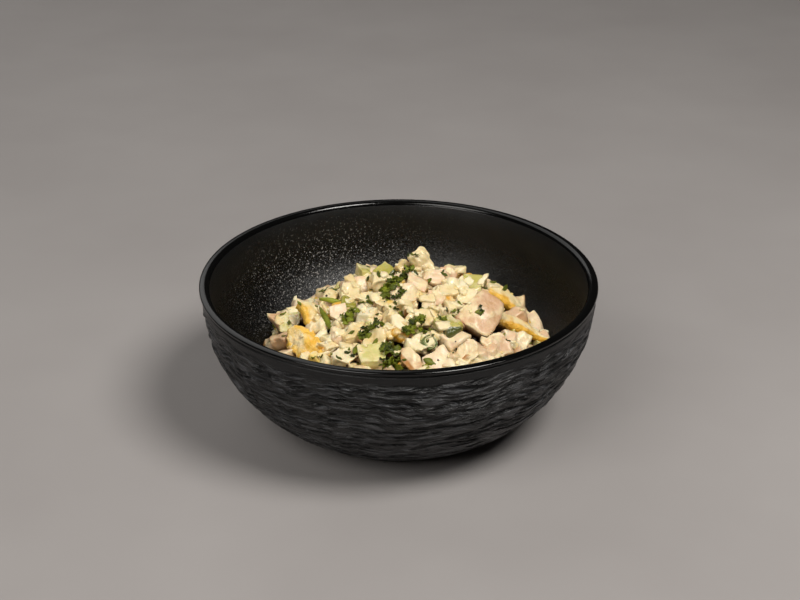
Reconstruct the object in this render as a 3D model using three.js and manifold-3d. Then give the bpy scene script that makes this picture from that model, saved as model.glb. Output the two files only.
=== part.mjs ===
// Smoked chicken pancake salad heaped in a round black stoneware bowl.
// Millimetres, +Z up. The origin is on the bowl's axis, on the plane that its foot stands on.
// The front of the salad faces -Y.

import * as THREE from 'three';
import Module from 'manifold-3d';
import { mergeVertices } from 'three/addons/utils/BufferGeometryUtils.js';

const wasm = await Module();
wasm.setup();

// Bowl
const RIM_RADIUS = 85;
const BOWL_HEIGHT = 65;
const LIP_WIDTH = 4.2;
const LIP_DROP = 2;
const CREASE_DEPTH = 1.5;
const CREASE_HEIGHT = 0.9;
const WALL_TOP = 63;
const OUTER_RADIUS = 84.2;
const OUTER_DEPTH = 73;
const OUTER_POWER = 2.15;
const INNER_RADIUS = 80.6;
const FLOOR_HEIGHT = 7.5;
const INNER_POWER = 3;
const FOOT_OUTER_RADIUS = 46;
const FOOT_INNER_RADIUS = 41;
const FOOT_HEIGHT = 3;
const UNDERSIDE_HEIGHT = 2;
const ROUND_STEPS = 48;
const WALL_STEPS = 10;

// Heap of salad
const FIT_GAP = 0.3;
const LEAST_DETAIL = 0.1;
const TOUCH_GAP = 0.02;
const HEAP_CENTRE = { x: 4, y: 2 };
const HEAP_RADIUS = 64;
const HEAP_EDGE_HEIGHT = 24;
const HEAP_TOP_HEIGHT = 50;
const HEAP_POWER = 2.6;
const HEAP_LUMPS = [
  { x: 8, y: 30, width: 10, rise: 5 },
  { x: -14, y: 29, width: 8, rise: 3 },
  { x: 40, y: 18, width: 12, rise: 5 },
  { x: -40, y: 2, width: 13, rise: 4.5 },
  { x: 30, y: -26, width: 10, rise: 2 },
];
const CORE_DROP = 2;
const CORE_RINGS = 9;
const CORE_REACH = 78;

// Small pieces that cover the heap between the large ones
const SMALL_COUNT = 100;
const SMALL_REACH = 62;
const SMALL_JITTER = 1.5;
const SEED = 4063;
const GOLDEN_ANGLE = Math.PI * (3 - Math.sqrt(5));
const WALL_CLEARANCE = 2;

// Knife cuts: how askew a face may be, how far a slab's sides draw in downward in degrees,
// and how many cuts go across corners
const ASKEW = 0.2;
const SLAB_DRAFT = 10;
const CORNER_CUTS = { chicken: 3, pancake: 2, cucumber: 2, egg: 2 };

// The large pieces. x, y: place on the heap. lift: height of the centre over the heap's surface.
// size: length, width, height. turn, pitch, roll: degrees about Z, then Y, then X.
// outline and thick, for a slab: the corners of its upper face, and its thickness.
// ridge, for a slab: azimuth, tilt and distance of a second upper face.
// tip, for a strip: share of its size that is left at its far end.
// clear: radius round it that the small pieces keep out of.
const LARGE_PIECES = [
  { kind: 'chicken', x: 34, y: -6, lift: 0.5, turn: -62, pitch: 42, roll: 0, thick: 12, clear: 11.5,
    outline: [[-11, 5.5], [-2, 12], [6, 6.5], [11, -2.5], [5, -8], [-3, -12.5]], ridge: [-128, 22, 6.5] },
  { kind: 'chicken', x: 17, y: -35.5, lift: -1, turn: -85, pitch: 38, roll: 0, thick: 9, clear: 8,
    outline: [[-6.5, 2], [6.5, 8], [7.5, -7], [-1, -7.5]] },
  { kind: 'chicken', x: 6, y: -36.5, lift: -1, turn: -95, pitch: 35, roll: 0, thick: 9, clear: 6.5,
    outline: [[-5, -5], [-5.5, -1.5], [-1.5, 3], [6, 5], [6, 0], [0.5, -5]] },
  { kind: 'chicken', x: 50.5, y: -11, lift: -0.5, turn: -60, pitch: 38, roll: 0, thick: 9, clear: 7.5,
    outline: [[-6, -5], [-4.5, 2], [0, 6.5], [5.5, 1], [6, -5.5]] },
  { kind: 'chicken', x: 41, y: -22, lift: -0.5, turn: -80, pitch: 40, roll: 0, thick: 9, clear: 8,
    outline: [[-5, -7], [-5.5, 2], [-1.5, 6.5], [3.5, 7], [5.5, 0], [3.5, -5]] },
  { kind: 'chicken', x: 34.5, y: -31.5, lift: -1.5, turn: -80, pitch: 40, roll: 0, thick: 8, clear: 6,
    outline: [[-3, -5], [-3, 1], [-1, 5], [4, 3], [4.5, -4.5]] },
  { kind: 'chicken', x: 28.5, y: -30, lift: -1, turn: -95, pitch: 40, roll: 0, thick: 8, clear: 6,
    outline: [[-4, -5], [-6, 0.5], [-5, 4.5], [1.5, 5], [6, 0], [4.5, -5]] },
  { kind: 'chicken', x: 22, y: 28.5, lift: 2.5, turn: -80, pitch: 48, roll: 0, thick: 8, clear: 5,
    outline: [[-3.5, -4], [-3.5, 1.5], [1, 4], [3.5, 2], [3.5, -3]] },
  { kind: 'chicken', x: 16, y: 4.5, lift: 0.5, turn: -85, pitch: 40, roll: 0, thick: 8, clear: 5,
    outline: [[-4, -3.5], [-4, 2], [0, 4], [4, 2], [4, -3.5]] },
  { kind: 'chicken', x: -26, y: -5, lift: 0.5, turn: -80, pitch: 38, roll: 0, thick: 6, clear: 5,
    outline: [[-3, -4], [-4.5, 3.5], [2, 3.5], [4, -1], [1.5, -4]] },
  { kind: 'chicken', x: 2.5, y: 5, lift: 1, size: [11, 9, 8], turn: 20, pitch: 10, roll: 25, clear: 6 },
  { kind: 'chicken', x: 8, y: 13, lift: 1, size: [8, 6, 9], turn: -10, pitch: 8, roll: 15, clear: 5 },
  { kind: 'chicken', x: -19.5, y: 20, lift: 1, size: [10, 8, 6], turn: 15, pitch: 0, roll: 30, clear: 5 },
  { kind: 'chicken', x: -50, y: 4, lift: 1, size: [7, 8, 11], turn: 15, pitch: -14, roll: 10, clear: 5 },
  { kind: 'chicken', x: -49.5, y: -8, lift: 0, size: [8, 8, 11], turn: -20, pitch: -20, roll: 10, clear: 6 },
  { kind: 'chicken', x: -48, y: -17, lift: -1, size: [11, 8, 9], turn: -50, pitch: -18, roll: 0, clear: 5 },
  { kind: 'chicken', x: 16, y: 20, lift: 1.5, size: [11, 7, 7], turn: -10, pitch: 0, roll: 35, clear: 5 },
  { kind: 'chicken', x: -4.5, y: -22.5, lift: 0.5, size: [9, 6, 6], turn: 20, pitch: 6, roll: 20, clear: 4 },
  { kind: 'chicken', x: 4.5, y: -10, lift: 1.5, size: [5, 5, 11], turn: 10, pitch: 0, roll: 25, clear: 3 },
  { kind: 'chicken', x: 59, y: 12, lift: 1, size: [10, 7, 6], turn: -30, pitch: 35, roll: 10, clear: 5 },
  { kind: 'chicken', x: 36, y: 23, lift: 1.5, size: [9, 7, 6], turn: 10, pitch: 10, roll: 10, clear: 4 },
  { kind: 'chicken', x: -30, y: 43, lift: -1, size: [11, 9, 8], turn: 35, pitch: 6, roll: -12, clear: 6 },
  { kind: 'chicken', x: 14, y: 50, lift: 0, size: [15, 12, 10], turn: -20, pitch: 4, roll: -20, clear: 7 },
  { kind: 'chicken', x: -24, y: -47, lift: 0, size: [16, 12, 10], turn: 20, pitch: -8, roll: 22, clear: 8 },
  { kind: 'chicken', x: 30, y: -47, lift: 0, size: [15, 12, 9], turn: -30, pitch: 10, roll: 22, clear: 7 },
  { kind: 'pancake', x: -39.5, y: -16.5, lift: -0.5, turn: -110, pitch: 42, roll: 0, thick: 8, clear: 9,
    outline: [[-5.5, -9.5], [-8, -2.5], [-6.5, 5.5], [1, 9.5], [8, 6.5], [2.5, -8]] },
  { kind: 'pancake', x: -2, y: -7, lift: 0.5, size: [8, 7, 7], turn: 35, pitch: 0, roll: 20, clear: 4.5 },
  { kind: 'pancake', x: 50, y: 15, lift: 1.5, size: [26, 9, 5],
    turn: -8, pitch: 36, roll: 8, tip: 0.8, clear: 7 },
  { kind: 'pancake', x: 54, y: -1.5, lift: 2.5, size: [24, 8, 6],
    turn: -4, pitch: 18, roll: 5, tip: 0.3, clear: 6 },
  { kind: 'pancake', x: -38, y: -4, lift: 2.5, size: [13, 8, 4],
    turn: -58, pitch: 24, roll: -15, tip: 0.9, clear: 5 },
  { kind: 'pancake', x: -32, y: -29.5, lift: 1, size: [12, 4, 3],
    turn: -35, pitch: 15, roll: 10, tip: 0.8, clear: 3 },
  { kind: 'pancake', x: -6, y: 44, lift: 2, size: [26, 11, 4],
    turn: 15, pitch: 4, roll: -24, tip: 0.9, clear: 7 },
  { kind: 'cucumber', x: 20.5, y: -20, lift: 1.5, size: [10, 9, 9], turn: 28, pitch: 0, roll: 14, clear: 6 },
  { kind: 'cucumber', x: -11, y: -34, lift: 0, size: [11, 10, 9], turn: 12, pitch: 4, roll: 24, clear: 7 },
  { kind: 'cucumber', x: -15, y: 28, lift: 1.5, size: [7, 8, 8], turn: 20, pitch: 18, roll: 0, clear: 5 },
  { kind: 'cucumber', x: -7, y: 25, lift: 1.5, size: [8, 7, 7], turn: 50, pitch: -10, roll: 12, clear: 4 },
  { kind: 'cucumber', x: -47.5, y: 2, lift: 2, turn: -105, pitch: 45, roll: 0, thick: 5, clear: 5,
    outline: [[-2.5, -5.5], [-5.5, 4.5], [0.5, 5.5], [4.5, 2], [5.5, -3]] },
  { kind: 'cucumber', x: 32, y: 17.5, lift: 1.5, size: [10, 8, 5], turn: -20, pitch: 6, roll: 20, clear: 5 },
  { kind: 'cucumber', x: 60, y: -4, lift: 0, size: [6, 7, 8], turn: 20, pitch: 25, roll: 0, clear: 4 },
  { kind: 'egg', x: 9, y: -31, lift: 1.5, size: [9, 8, 8], turn: 25, pitch: 0, roll: 12, clear: 5 },
  { kind: 'egg', x: 0.5, y: -18, lift: 0.5, turn: -80, pitch: 30, roll: 0, thick: 7, clear: 4,
    outline: [[-4, -4], [-4.5, 0], [0.5, 4], [4.5, 0.5], [0, -4]] },
  { kind: 'egg', x: 11, y: -13, lift: 0.5, turn: -85, pitch: 30, roll: 0, thick: 8, clear: 5,
    outline: [[-3.5, -5], [-5, 2], [-1, 5], [5, 2], [4, -4.5]] },
  { kind: 'egg', x: -8, y: 18, lift: 1.5, size: [8, 8, 9], turn: 10, pitch: 0, roll: 15, clear: 5 },
  { kind: 'egg', x: -43.5, y: -25, lift: -0.5, size: [9, 8, 8], turn: 20, pitch: -5, roll: 20, clear: 5 },
  { kind: 'egg', x: -9, y: -27, lift: 1, size: [9, 6, 6], turn: 15, pitch: 0, roll: 15, clear: 4 },
  { kind: 'egg', x: -18, y: -20, lift: 1, size: [13, 6, 5], turn: 22, pitch: 0, roll: 10, clear: 4 },
  { kind: 'egg', x: -22.5, y: -33, lift: 1, size: [8, 8, 7], turn: 38, pitch: 0, roll: 10, clear: 5 },
  { kind: 'egg', x: -20.5, y: 9, lift: 1, size: [9, 8, 8], turn: 10, pitch: 0, roll: 12, clear: 5 },
  { kind: 'egg', x: -13, y: 7, lift: 1, size: [9, 6, 5], turn: -15, pitch: 0, roll: 12, clear: 4 },
  { kind: 'egg', x: -7, y: 1, lift: 1, size: [7, 7, 6], turn: 30, pitch: 0, roll: 12, clear: 4 },
  { kind: 'egg', x: 26, y: 14, lift: 1, size: [9, 8, 6], turn: 25, pitch: 5, roll: 25, clear: 5 },
  { kind: 'egg', x: 29, y: 7, lift: 1, size: [9, 8, 5], turn: -20, pitch: 0, roll: 25, clear: 4 },
  { kind: 'egg', x: 11, y: 27, lift: 3.5, size: [6.5, 7, 15], turn: 0, pitch: -24, roll: 5, clear: 6 },
  { kind: 'egg', x: 24.5, y: 31.5, lift: 5, size: [8, 7, 6], turn: 20, pitch: 0, roll: 0, clear: 4 },
  { kind: 'egg', x: 9, y: 21, lift: 2, size: [11, 4, 4], turn: 10, pitch: 0, roll: 20, clear: 3 },
  { kind: 'egg', x: -43, y: 8, lift: 2, size: [9, 7, 7], turn: 10, pitch: -10, roll: 10, clear: 5 },
  { kind: 'onion', x: 12.5, y: -31.5, lift: 4, size: [6.5, 6.5, 3], turn: 20, pitch: 15, roll: 40, clear: 3 },
  { kind: 'leaf', x: -28.5, y: 2.5, lift: 3.5, size: [12, 3.4, 0.9], turn: -4, pitch: 0, roll: 25, clear: 2 },
  { kind: 'leaf', x: -31, y: -10, lift: 3.5, size: [15, 3.4, 0.9], turn: -66, pitch: 12, roll: 10, clear: 2 },
  { kind: 'parsley', x: -3, y: -37, lift: 3, size: [15, 8, 0.9], turn: 92, pitch: 0, roll: 0, clear: 4.5 },
  { kind: 'parsley', x: -3.5, y: 8.5, lift: 3, size: [11, 7, 0.9], turn: 60, pitch: 0, roll: 0, clear: 4 },
  { kind: 'parsley', x: -21, y: -9, lift: 3, size: [9, 7, 0.9], turn: 40, pitch: 0, roll: 0, clear: 4 },
  { kind: 'parsley', x: -11, y: -23, lift: 3, size: [10, 6, 0.9], turn: 25, pitch: 0, roll: 0, clear: 4 },
  { kind: 'parsley', x: 6.5, y: -21, lift: 3, size: [12, 6, 0.9], turn: 50, pitch: 0, roll: 0, clear: 3 },
  { kind: 'parsley', x: 2, y: 18, lift: 3, size: [8, 6, 0.9], turn: 30, pitch: 0, roll: 0, clear: 3 },
  { kind: 'dill', x: -31, y: 24, lift: 3, size: [9, 6, 0.9], turn: 10, pitch: 0, roll: 0, clear: 4 },
  { kind: 'dill', x: 8, y: 26, lift: 8, size: [10, 3, 0.9], turn: 80, pitch: 50, roll: 0, clear: 3 },
];

const degrees = THREE.MathUtils.degToRad;

// Repeatable random numbers from 0 to 1
function seededRandom(seed) {
  let state = seed >>> 0;
  return () => {
    state = (state + 0x6d2b79f5) >>> 0;
    let mixed = Math.imul(state ^ (state >>> 15), state | 1);
    mixed ^= mixed + Math.imul(mixed ^ (mixed >>> 7), mixed | 61);
    return ((mixed ^ (mixed >>> 14)) >>> 0) / 4294967296;
  };
}

// Height of the heap's surface
function heapHeight(x, y) {
  const reach = Math.hypot(x - HEAP_CENTRE.x, y - HEAP_CENTRE.y) / HEAP_RADIUS;
  let height = HEAP_EDGE_HEIGHT + (HEAP_TOP_HEIGHT - HEAP_EDGE_HEIGHT) * (1 - reach ** HEAP_POWER);
  for (const lump of HEAP_LUMPS) {
    const distance = Math.hypot(x - lump.x, y - lump.y);
    height += lump.rise * Math.exp(-(distance ** 2) / (2 * lump.width ** 2));
  }
  return height;
}

// Radius of the bowl's inner wall at a height
function innerRadius(height) {
  const depth = Math.min(Math.max((WALL_TOP - height) / (WALL_TOP - FLOOR_HEIGHT), 0), 1);
  return INNER_RADIUS * Math.sqrt(1 - depth ** INNER_POWER);
}

// The inner wall's profile from its top edge down to the floor's centre
function innerProfile() {
  const points = [];
  for (let step = 0; step <= WALL_STEPS; step += 1) {
    const angle = (Math.PI / 2) * (step / WALL_STEPS);
    const depth = Math.sin(angle) ** (2 / INNER_POWER);
    const height = WALL_TOP - (WALL_TOP - FLOOR_HEIGHT) * depth;
    points.push(new THREE.Vector2(INNER_RADIUS * Math.cos(angle), height));
  }
  points[WALL_STEPS].x = 0;
  return points;
}

// The outer wall's profile from the foot up to the crease under the lip
function outerProfile(lowest, highest) {
  const angleAt = (height) => Math.asin(((WALL_TOP - height) / OUTER_DEPTH) ** (OUTER_POWER / 2));
  const from = angleAt(lowest);
  const to = angleAt(highest);
  const points = [];
  for (let step = 0; step <= WALL_STEPS; step += 1) {
    const angle = from + (to - from) * (step / WALL_STEPS);
    const depth = Math.sin(angle) ** (2 / OUTER_POWER);
    points.push(new THREE.Vector2(OUTER_RADIUS * Math.cos(angle), WALL_TOP - OUTER_DEPTH * depth));
  }
  return points;
}

// The lip, from the crease over the top to the inner wall. Its outer edge is tight, its inner edge round.
function lipProfile() {
  const middle = RIM_RADIUS - LIP_WIDTH / 2;
  const points = [];
  const arcSteps = 10;
  const arcStart = degrees(-45);
  const arcStep = degrees(22.5);
  const outerSquareness = 0.6;
  for (let step = 0; step < arcSteps; step += 1) {
    const angle = arcStart + arcStep * step;
    const isOuter = Math.cos(angle) > 0;
    const rise = isOuter ? LIP_DROP / 2 : LIP_DROP;
    const power = isOuter ? outerSquareness : 1;
    const across = Math.sign(Math.cos(angle)) * Math.abs(Math.cos(angle)) ** power;
    const up = Math.sign(Math.sin(angle)) * Math.abs(Math.sin(angle)) ** power;
    points.push(new THREE.Vector2(middle + (LIP_WIDTH / 2) * across, BOWL_HEIGHT - rise + rise * up));
  }
  return points;
}

// A profile turned round the Z axis
function turned(points) {
  const geometry = new THREE.LatheGeometry(points, ROUND_STEPS);
  geometry.rotateX(Math.PI / 2);
  return geometry;
}

function bowlGeometry() {
  const wallHead = BOWL_HEIGHT - LIP_DROP - CREASE_HEIGHT;
  const creaseRadius = RIM_RADIUS - CREASE_DEPTH;
  const profile = [
    new THREE.Vector2(0, UNDERSIDE_HEIGHT),
    new THREE.Vector2(FOOT_INNER_RADIUS - 1, UNDERSIDE_HEIGHT),
    new THREE.Vector2(FOOT_INNER_RADIUS, 0),
    new THREE.Vector2(FOOT_OUTER_RADIUS - 0.6, 0),
    new THREE.Vector2(FOOT_OUTER_RADIUS, FOOT_HEIGHT * 0.7),
    ...outerProfile(FOOT_HEIGHT, wallHead),
    new THREE.Vector2(creaseRadius, wallHead + CREASE_HEIGHT * 0.3),
    new THREE.Vector2(creaseRadius, wallHead + CREASE_HEIGHT),
    ...lipProfile(),
    ...innerProfile(),
  ];
  return turned(profile);
}

// The space that the salad may fill: the bowl's inside, less the fit gap
function cavityGeometry() {
  const inward = ({ x, y }) => new THREE.Vector2(Math.max(x - FIT_GAP, 0), y + FIT_GAP);
  return turned([...innerProfile().map(inward).reverse(), new THREE.Vector2(0, WALL_TOP + FIT_GAP)]);
}

// The bare heap: a column with the heap's surface on top, wider than the bowl
function coreGeometry() {
  const peak = heapHeight(HEAP_CENTRE.x, HEAP_CENTRE.y) - CORE_DROP;
  const positions = [0, 0, 0, HEAP_CENTRE.x, HEAP_CENTRE.y, peak];
  const indices = [];
  const at = (ring, sector) => 2 + ring * ROUND_STEPS + (sector % ROUND_STEPS);
  for (let ring = 0; ring <= CORE_RINGS; ring += 1) {
    const isBase = ring === CORE_RINGS;
    const reach = CORE_REACH * ((Math.min(ring, CORE_RINGS - 1) + 1) / CORE_RINGS);
    for (let sector = 0; sector < ROUND_STEPS; sector += 1) {
      const angle = (2 * Math.PI * sector) / ROUND_STEPS;
      const x = HEAP_CENTRE.x + reach * Math.cos(angle);
      const y = HEAP_CENTRE.y + reach * Math.sin(angle);
      positions.push(x, y, isBase ? 0 : Math.max(heapHeight(x, y) - CORE_DROP, 1));
    }
  }
  for (let sector = 0; sector < ROUND_STEPS; sector += 1) {
    indices.push(1, at(0, sector), at(0, sector + 1));
    indices.push(0, at(CORE_RINGS, sector + 1), at(CORE_RINGS, sector));
    for (let ring = 0; ring < CORE_RINGS; ring += 1) {
      indices.push(at(ring, sector), at(ring + 1, sector), at(ring + 1, sector + 1));
      indices.push(at(ring, sector), at(ring + 1, sector + 1), at(ring, sector + 1));
    }
  }
  const geometry = new THREE.BufferGeometry();
  geometry.setAttribute('position', new THREE.Float32BufferAttribute(positions, 3));
  geometry.setIndex(indices);
  return geometry;
}

// Knife cuts as outward normal and distance: six faces, each a little askew, and cuts across corners
function boxPlanes({ kind, size }, random) {
  const half = new THREE.Vector3(...size).divideScalar(2);
  const draw = (scale) => new THREE.Vector3(
    scale * (2 * random() - 1),
    scale * (2 * random() - 1),
    scale * (2 * random() - 1),
  );
  const planes = [];
  for (let axis = 0; axis < 3; axis += 1) {
    for (const side of [-1, 1]) {
      const normal = draw(ASKEW).setComponent(axis, side).normalize();
      planes.push({ normal, distance: half.getComponent(axis) * Math.abs(normal.getComponent(axis)) });
    }
  }
  for (let cut = 0; cut < CORNER_CUTS[kind]; cut += 1) {
    const normal = draw(1).normalize();
    const share = 0.66 + 0.2 * random();
    const reach = Math.abs(normal.x) * half.x + Math.abs(normal.y) * half.y + Math.abs(normal.z) * half.z;
    planes.push({ normal, distance: share * reach });
  }
  return planes;
}

// The faces of a slab: its sides draw in a little downward
function slabPlanes({ outline, thick, ridge }) {
  const half = thick / 2;
  const draft = degrees(SLAB_DRAFT);
  const planes = [
    { normal: new THREE.Vector3(0, 0, 1), distance: half },
    { normal: new THREE.Vector3(0, 0, -1), distance: half },
  ];
  outline.forEach(([x, y], index) => {
    const [nextX, nextY] = outline[(index + 1) % outline.length];
    const side = new THREE.Vector3(nextY - y, x - nextX, 0).normalize();
    const corner = new THREE.Vector3(x, y, half);
    if (side.dot(corner) < 0) {
      side.negate();
    }
    const normal = side.multiplyScalar(Math.cos(draft)).setZ(-Math.sin(draft));
    planes.push({ normal, distance: normal.dot(corner) });
  });
  if (ridge) {
    const [azimuth, tilt, distance] = ridge;
    const normal = new THREE.Vector3(0, 0, 1);
    normal.applyEuler(new THREE.Euler(0, degrees(tilt), degrees(azimuth), 'ZYX'));
    planes.push({ normal, distance });
  }
  return planes;
}

// The solid inside all the cuts
function cutSolid(piece, random) {
  const planes = piece.outline ? slabPlanes(piece) : boxPlanes(piece, random);
  const blockSize = 60;
  return planes.reduce(
    (solid, { normal, distance }) => solid.trimByPlane(normal.clone().negate().toArray(), -distance),
    wasm.Manifold.cube([blockSize, blockSize, blockSize], true),
  );
}

// A thin wavy sheet, its two faces split alike.
// outline gives its half width and taper its thickness, as shares, from 0 to 1 along it.
function sheetGeometry([length, width, thickness], outline, taper, wave, steps) {
  const across = 2;
  const row = across + 1;
  const layer = (steps + 1) * row;
  const positions = [];
  for (const side of [1, -1]) {
    for (let step = 0; step <= steps; step += 1) {
      const along = step / steps;
      for (let column = 0; column <= across; column += 1) {
        const offset = (2 * column) / across - 1;
        const bend = wave * Math.sin(along * Math.PI * 1.7 + offset) - wave * offset ** 2;
        positions.push(
          length * (along - 0.5),
          (width / 2) * offset * outline(along),
          bend + (side * thickness * taper(along)) / 2,
        );
      }
    }
  }
  const indices = [];
  const quad = (a, b, c, d) => indices.push(a, b, c, a, c, d);
  for (let step = 0; step < steps; step += 1) {
    for (let column = 0; column < across; column += 1) {
      const corner = step * row + column;
      quad(corner, corner + row, corner + row + 1, corner + 1);
      quad(layer + corner, layer + corner + 1, layer + corner + row + 1, layer + corner + row);
    }
    const near = step * row;
    const far = step * row + across;
    quad(near, layer + near, layer + near + row, near + row);
    quad(far, far + row, layer + far + row, layer + far);
  }
  for (let column = 0; column < across; column += 1) {
    const last = steps * row + column;
    quad(column, column + 1, layer + column + 1, layer + column);
    quad(last, layer + last, layer + last + 1, last + 1);
  }
  const geometry = new THREE.BufferGeometry();
  geometry.setAttribute('position', new THREE.Float32BufferAttribute(positions, 3));
  geometry.setIndex(indices);
  return geometry;
}

// A cut strip of pancake, narrower and thinner toward its far end
function stripGeometry({ size, tip }) {
  const narrowing = (along) => 1 - (1 - tip) * along ** 1.5;
  return sheetGeometry(size, narrowing, narrowing, size[1] * 0.08, 6);
}

// A narrow pointed herb leaf
function leafGeometry({ size }) {
  const outline = (along) => 0.18 + 0.82 * Math.sin(Math.PI * (0.06 + 0.88 * along));
  return sheetGeometry(size, outline, () => 1, size[1] * 0.2, 4);
}

// A slice of spring onion: a short tube
function ringGeometry({ size }) {
  const wall = 1.4;
  const outer = size[0] / 2;
  const height = size[2];
  const geometry = new THREE.LatheGeometry([
    new THREE.Vector2(outer - wall, -height / 2),
    new THREE.Vector2(outer, -height / 2),
    new THREE.Vector2(outer, height / 2),
    new THREE.Vector2(outer - wall, height / 2),
    new THREE.Vector2(outer - wall, -height / 2),
  ], 12);
  geometry.rotateX(Math.PI / 2);
  return geometry;
}

// A closed geometry as a solid for joining and cutting
function toSolid(geometry) {
  const bare = geometry.clone();
  bare.deleteAttribute('normal');
  bare.deleteAttribute('uv');
  const merged = mergeVertices(bare, 1e-4);
  return new wasm.Manifold(new wasm.Mesh({
    numProp: 3,
    vertProperties: Float32Array.from(merged.attributes.position.array),
    triVerts: Uint32Array.from(merged.index.array),
  }));
}

function toGeometry(solid) {
  const mesh = solid.getMesh();
  const geometry = new THREE.BufferGeometry();
  geometry.setAttribute('position', new THREE.BufferAttribute(Float32Array.from(mesh.vertProperties), 3));
  geometry.setIndex(new THREE.BufferAttribute(Uint32Array.from(mesh.triVerts), 1));
  return geometry;
}

// Turns a solid and stands it on the heap
function placed(solid, { x, y, lift, turn, pitch, roll }) {
  return solid.rotate([roll, pitch, turn]).translate([x, y, heapHeight(x, y) + lift]);
}

// A sprig: leaflets fanned out from one spot, each on edge a little
function sprigSolids(piece, random) {
  const [spread, leafLength, thickness] = piece.size;
  const leaf = toSolid(leafGeometry({ size: [leafLength, leafLength * 0.6, thickness] }));
  const leaflets = 3;
  const heading = degrees(piece.turn);
  const solids = [];
  for (let index = 0; index < leaflets; index += 1) {
    const along = (index / (leaflets - 1) - 0.5) * spread;
    solids.push(placed(leaf, {
      x: piece.x + along * Math.cos(heading),
      y: piece.y + along * Math.sin(heading),
      lift: piece.lift - 1.2,
      turn: piece.turn + 360 * random(),
      pitch: 40 * (random() - 0.5),
      roll: 50 * (random() - 0.5),
    }));
  }
  return solids;
}

function largeSolids(shapes, sprigs) {
  return LARGE_PIECES.flatMap((piece) => {
    if (piece.kind === 'parsley' || piece.kind === 'dill') {
      return sprigSolids(piece, sprigs);
    }
    if (piece.kind === 'leaf') {
      return [placed(toSolid(leafGeometry(piece)), piece)];
    }
    if (piece.kind === 'onion') {
      return [placed(toSolid(ringGeometry(piece)), piece)];
    }
    if (piece.tip) {
      return [placed(toSolid(stripGeometry(piece)), piece)];
    }
    return [placed(cutSolid(piece, shapes), piece)];
  });
}

function smallKind(draw) {
  if (draw < 0.3) {
    return 'chicken';
  }
  if (draw < 0.38) {
    return 'pancake';
  }
  return draw < 0.58 ? 'cucumber' : 'egg';
}

// Small dice and scraps laid in a sunflower spiral over the heap, clear of the large pieces
function smallSolids(random, shapes) {
  const solids = [];
  for (let index = 0; index < SMALL_COUNT; index += 1) {
    const reach = SMALL_REACH * Math.sqrt((index + 0.5) / SMALL_COUNT);
    const angle = index * GOLDEN_ANGLE;
    const x = HEAP_CENTRE.x + reach * Math.cos(angle) + SMALL_JITTER * (2 * random() - 1);
    const y = HEAP_CENTRE.y + reach * Math.sin(angle) + SMALL_JITTER * (2 * random() - 1);
    const kind = smallKind(random());
    const scale = 6.2 + 2.6 * random();
    const flatness = 0.65 + 0.35 * random();
    const piece = {
      kind,
      x,
      y,
      size: [scale * (kind === 'chicken' ? 1.4 : 1), scale * 0.9, scale * flatness],
      lift: 0.2 + 1.6 * random(),
      turn: 90 * random(),
      pitch: 50 * (random() - 0.5),
      roll: 50 * (random() - 0.5),
    };
    const isCovered = LARGE_PIECES.some((large) => Math.hypot(x - large.x, y - large.y) < large.clear);
    const meetsWall = Math.hypot(x, y) + scale / 2 > innerRadius(heapHeight(x, y)) - WALL_CLEARANCE;
    if (!isCovered && !meetsWall) {
      solids.push(placed(cutSolid(piece, shapes), piece));
    }
  }
  return solids;
}

// The largest of the separate surfaces, which leaves out loose scraps and sealed hollows
function largestBody(solid) {
  return solid.decompose().reduce((best, other) => (other.volume() > best.volume() ? other : best));
}

// Moves corners that touch, but belong to different folds of the surface, a little toward their own neighbours
function separated(geometry) {
  const position = geometry.attributes.position;
  const index = geometry.index.array;
  const corners = Array.from({ length: position.count }, (_, corner) => (
    new THREE.Vector3().fromBufferAttribute(position, corner)
  ));
  const neighbours = corners.map(() => []);
  for (let start = 0; start < index.length; start += 3) {
    const face = index.slice(start, start + 3);
    face.forEach((corner, turn) => neighbours[corner].push(corners[face[(turn + 1) % 3]]));
  }
  const placeOf = (corner) => corner.toArray().map((value) => value.toFixed(4)).join();
  const meetings = new Map();
  corners.forEach((corner) => meetings.set(placeOf(corner), (meetings.get(placeOf(corner)) ?? 0) + 1));
  corners.forEach((corner, number) => {
    if (meetings.get(placeOf(corner)) > 1) {
      const middle = new THREE.Vector3();
      neighbours[number].forEach((neighbour) => middle.addScaledVector(neighbour, 1 / neighbours[number].length));
      const moved = corner.clone().add(middle.sub(corner).setLength(TOUCH_GAP));
      position.setXYZ(number, moved.x, moved.y, moved.z);
    }
  });
  return geometry;
}

function saladGeometry() {
  const shapes = seededRandom(SEED + 1);
  const large = largeSolids(shapes, seededRandom(SEED + 2));
  const small = smallSolids(seededRandom(SEED), shapes);
  const heap = wasm.Manifold.union([toSolid(coreGeometry()), ...large, ...small]);
  const body = largestBody(toSolid(cavityGeometry()).intersect(heap).simplify(LEAST_DETAIL));
  return separated(toGeometry(body));
}

function namedMesh(name, geometry, material) {
  const mesh = new THREE.Mesh(geometry, new THREE.MeshStandardMaterial(material));
  mesh.name = name;
  return mesh;
}

const group = new THREE.Group();
group.add(namedMesh('bowl', bowlGeometry(), { color: 0x1b1b1c, roughness: 0.5, metalness: 0 }));
group.add(namedMesh('salad', saladGeometry(), { color: 0xe8dcae, roughness: 0.45, metalness: 0 }));

export default group;
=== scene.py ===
import math

import bpy
import numpy as np
from mathutils import Euler, Matrix, Vector
from mathutils.bvhtree import BVHTree


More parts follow.
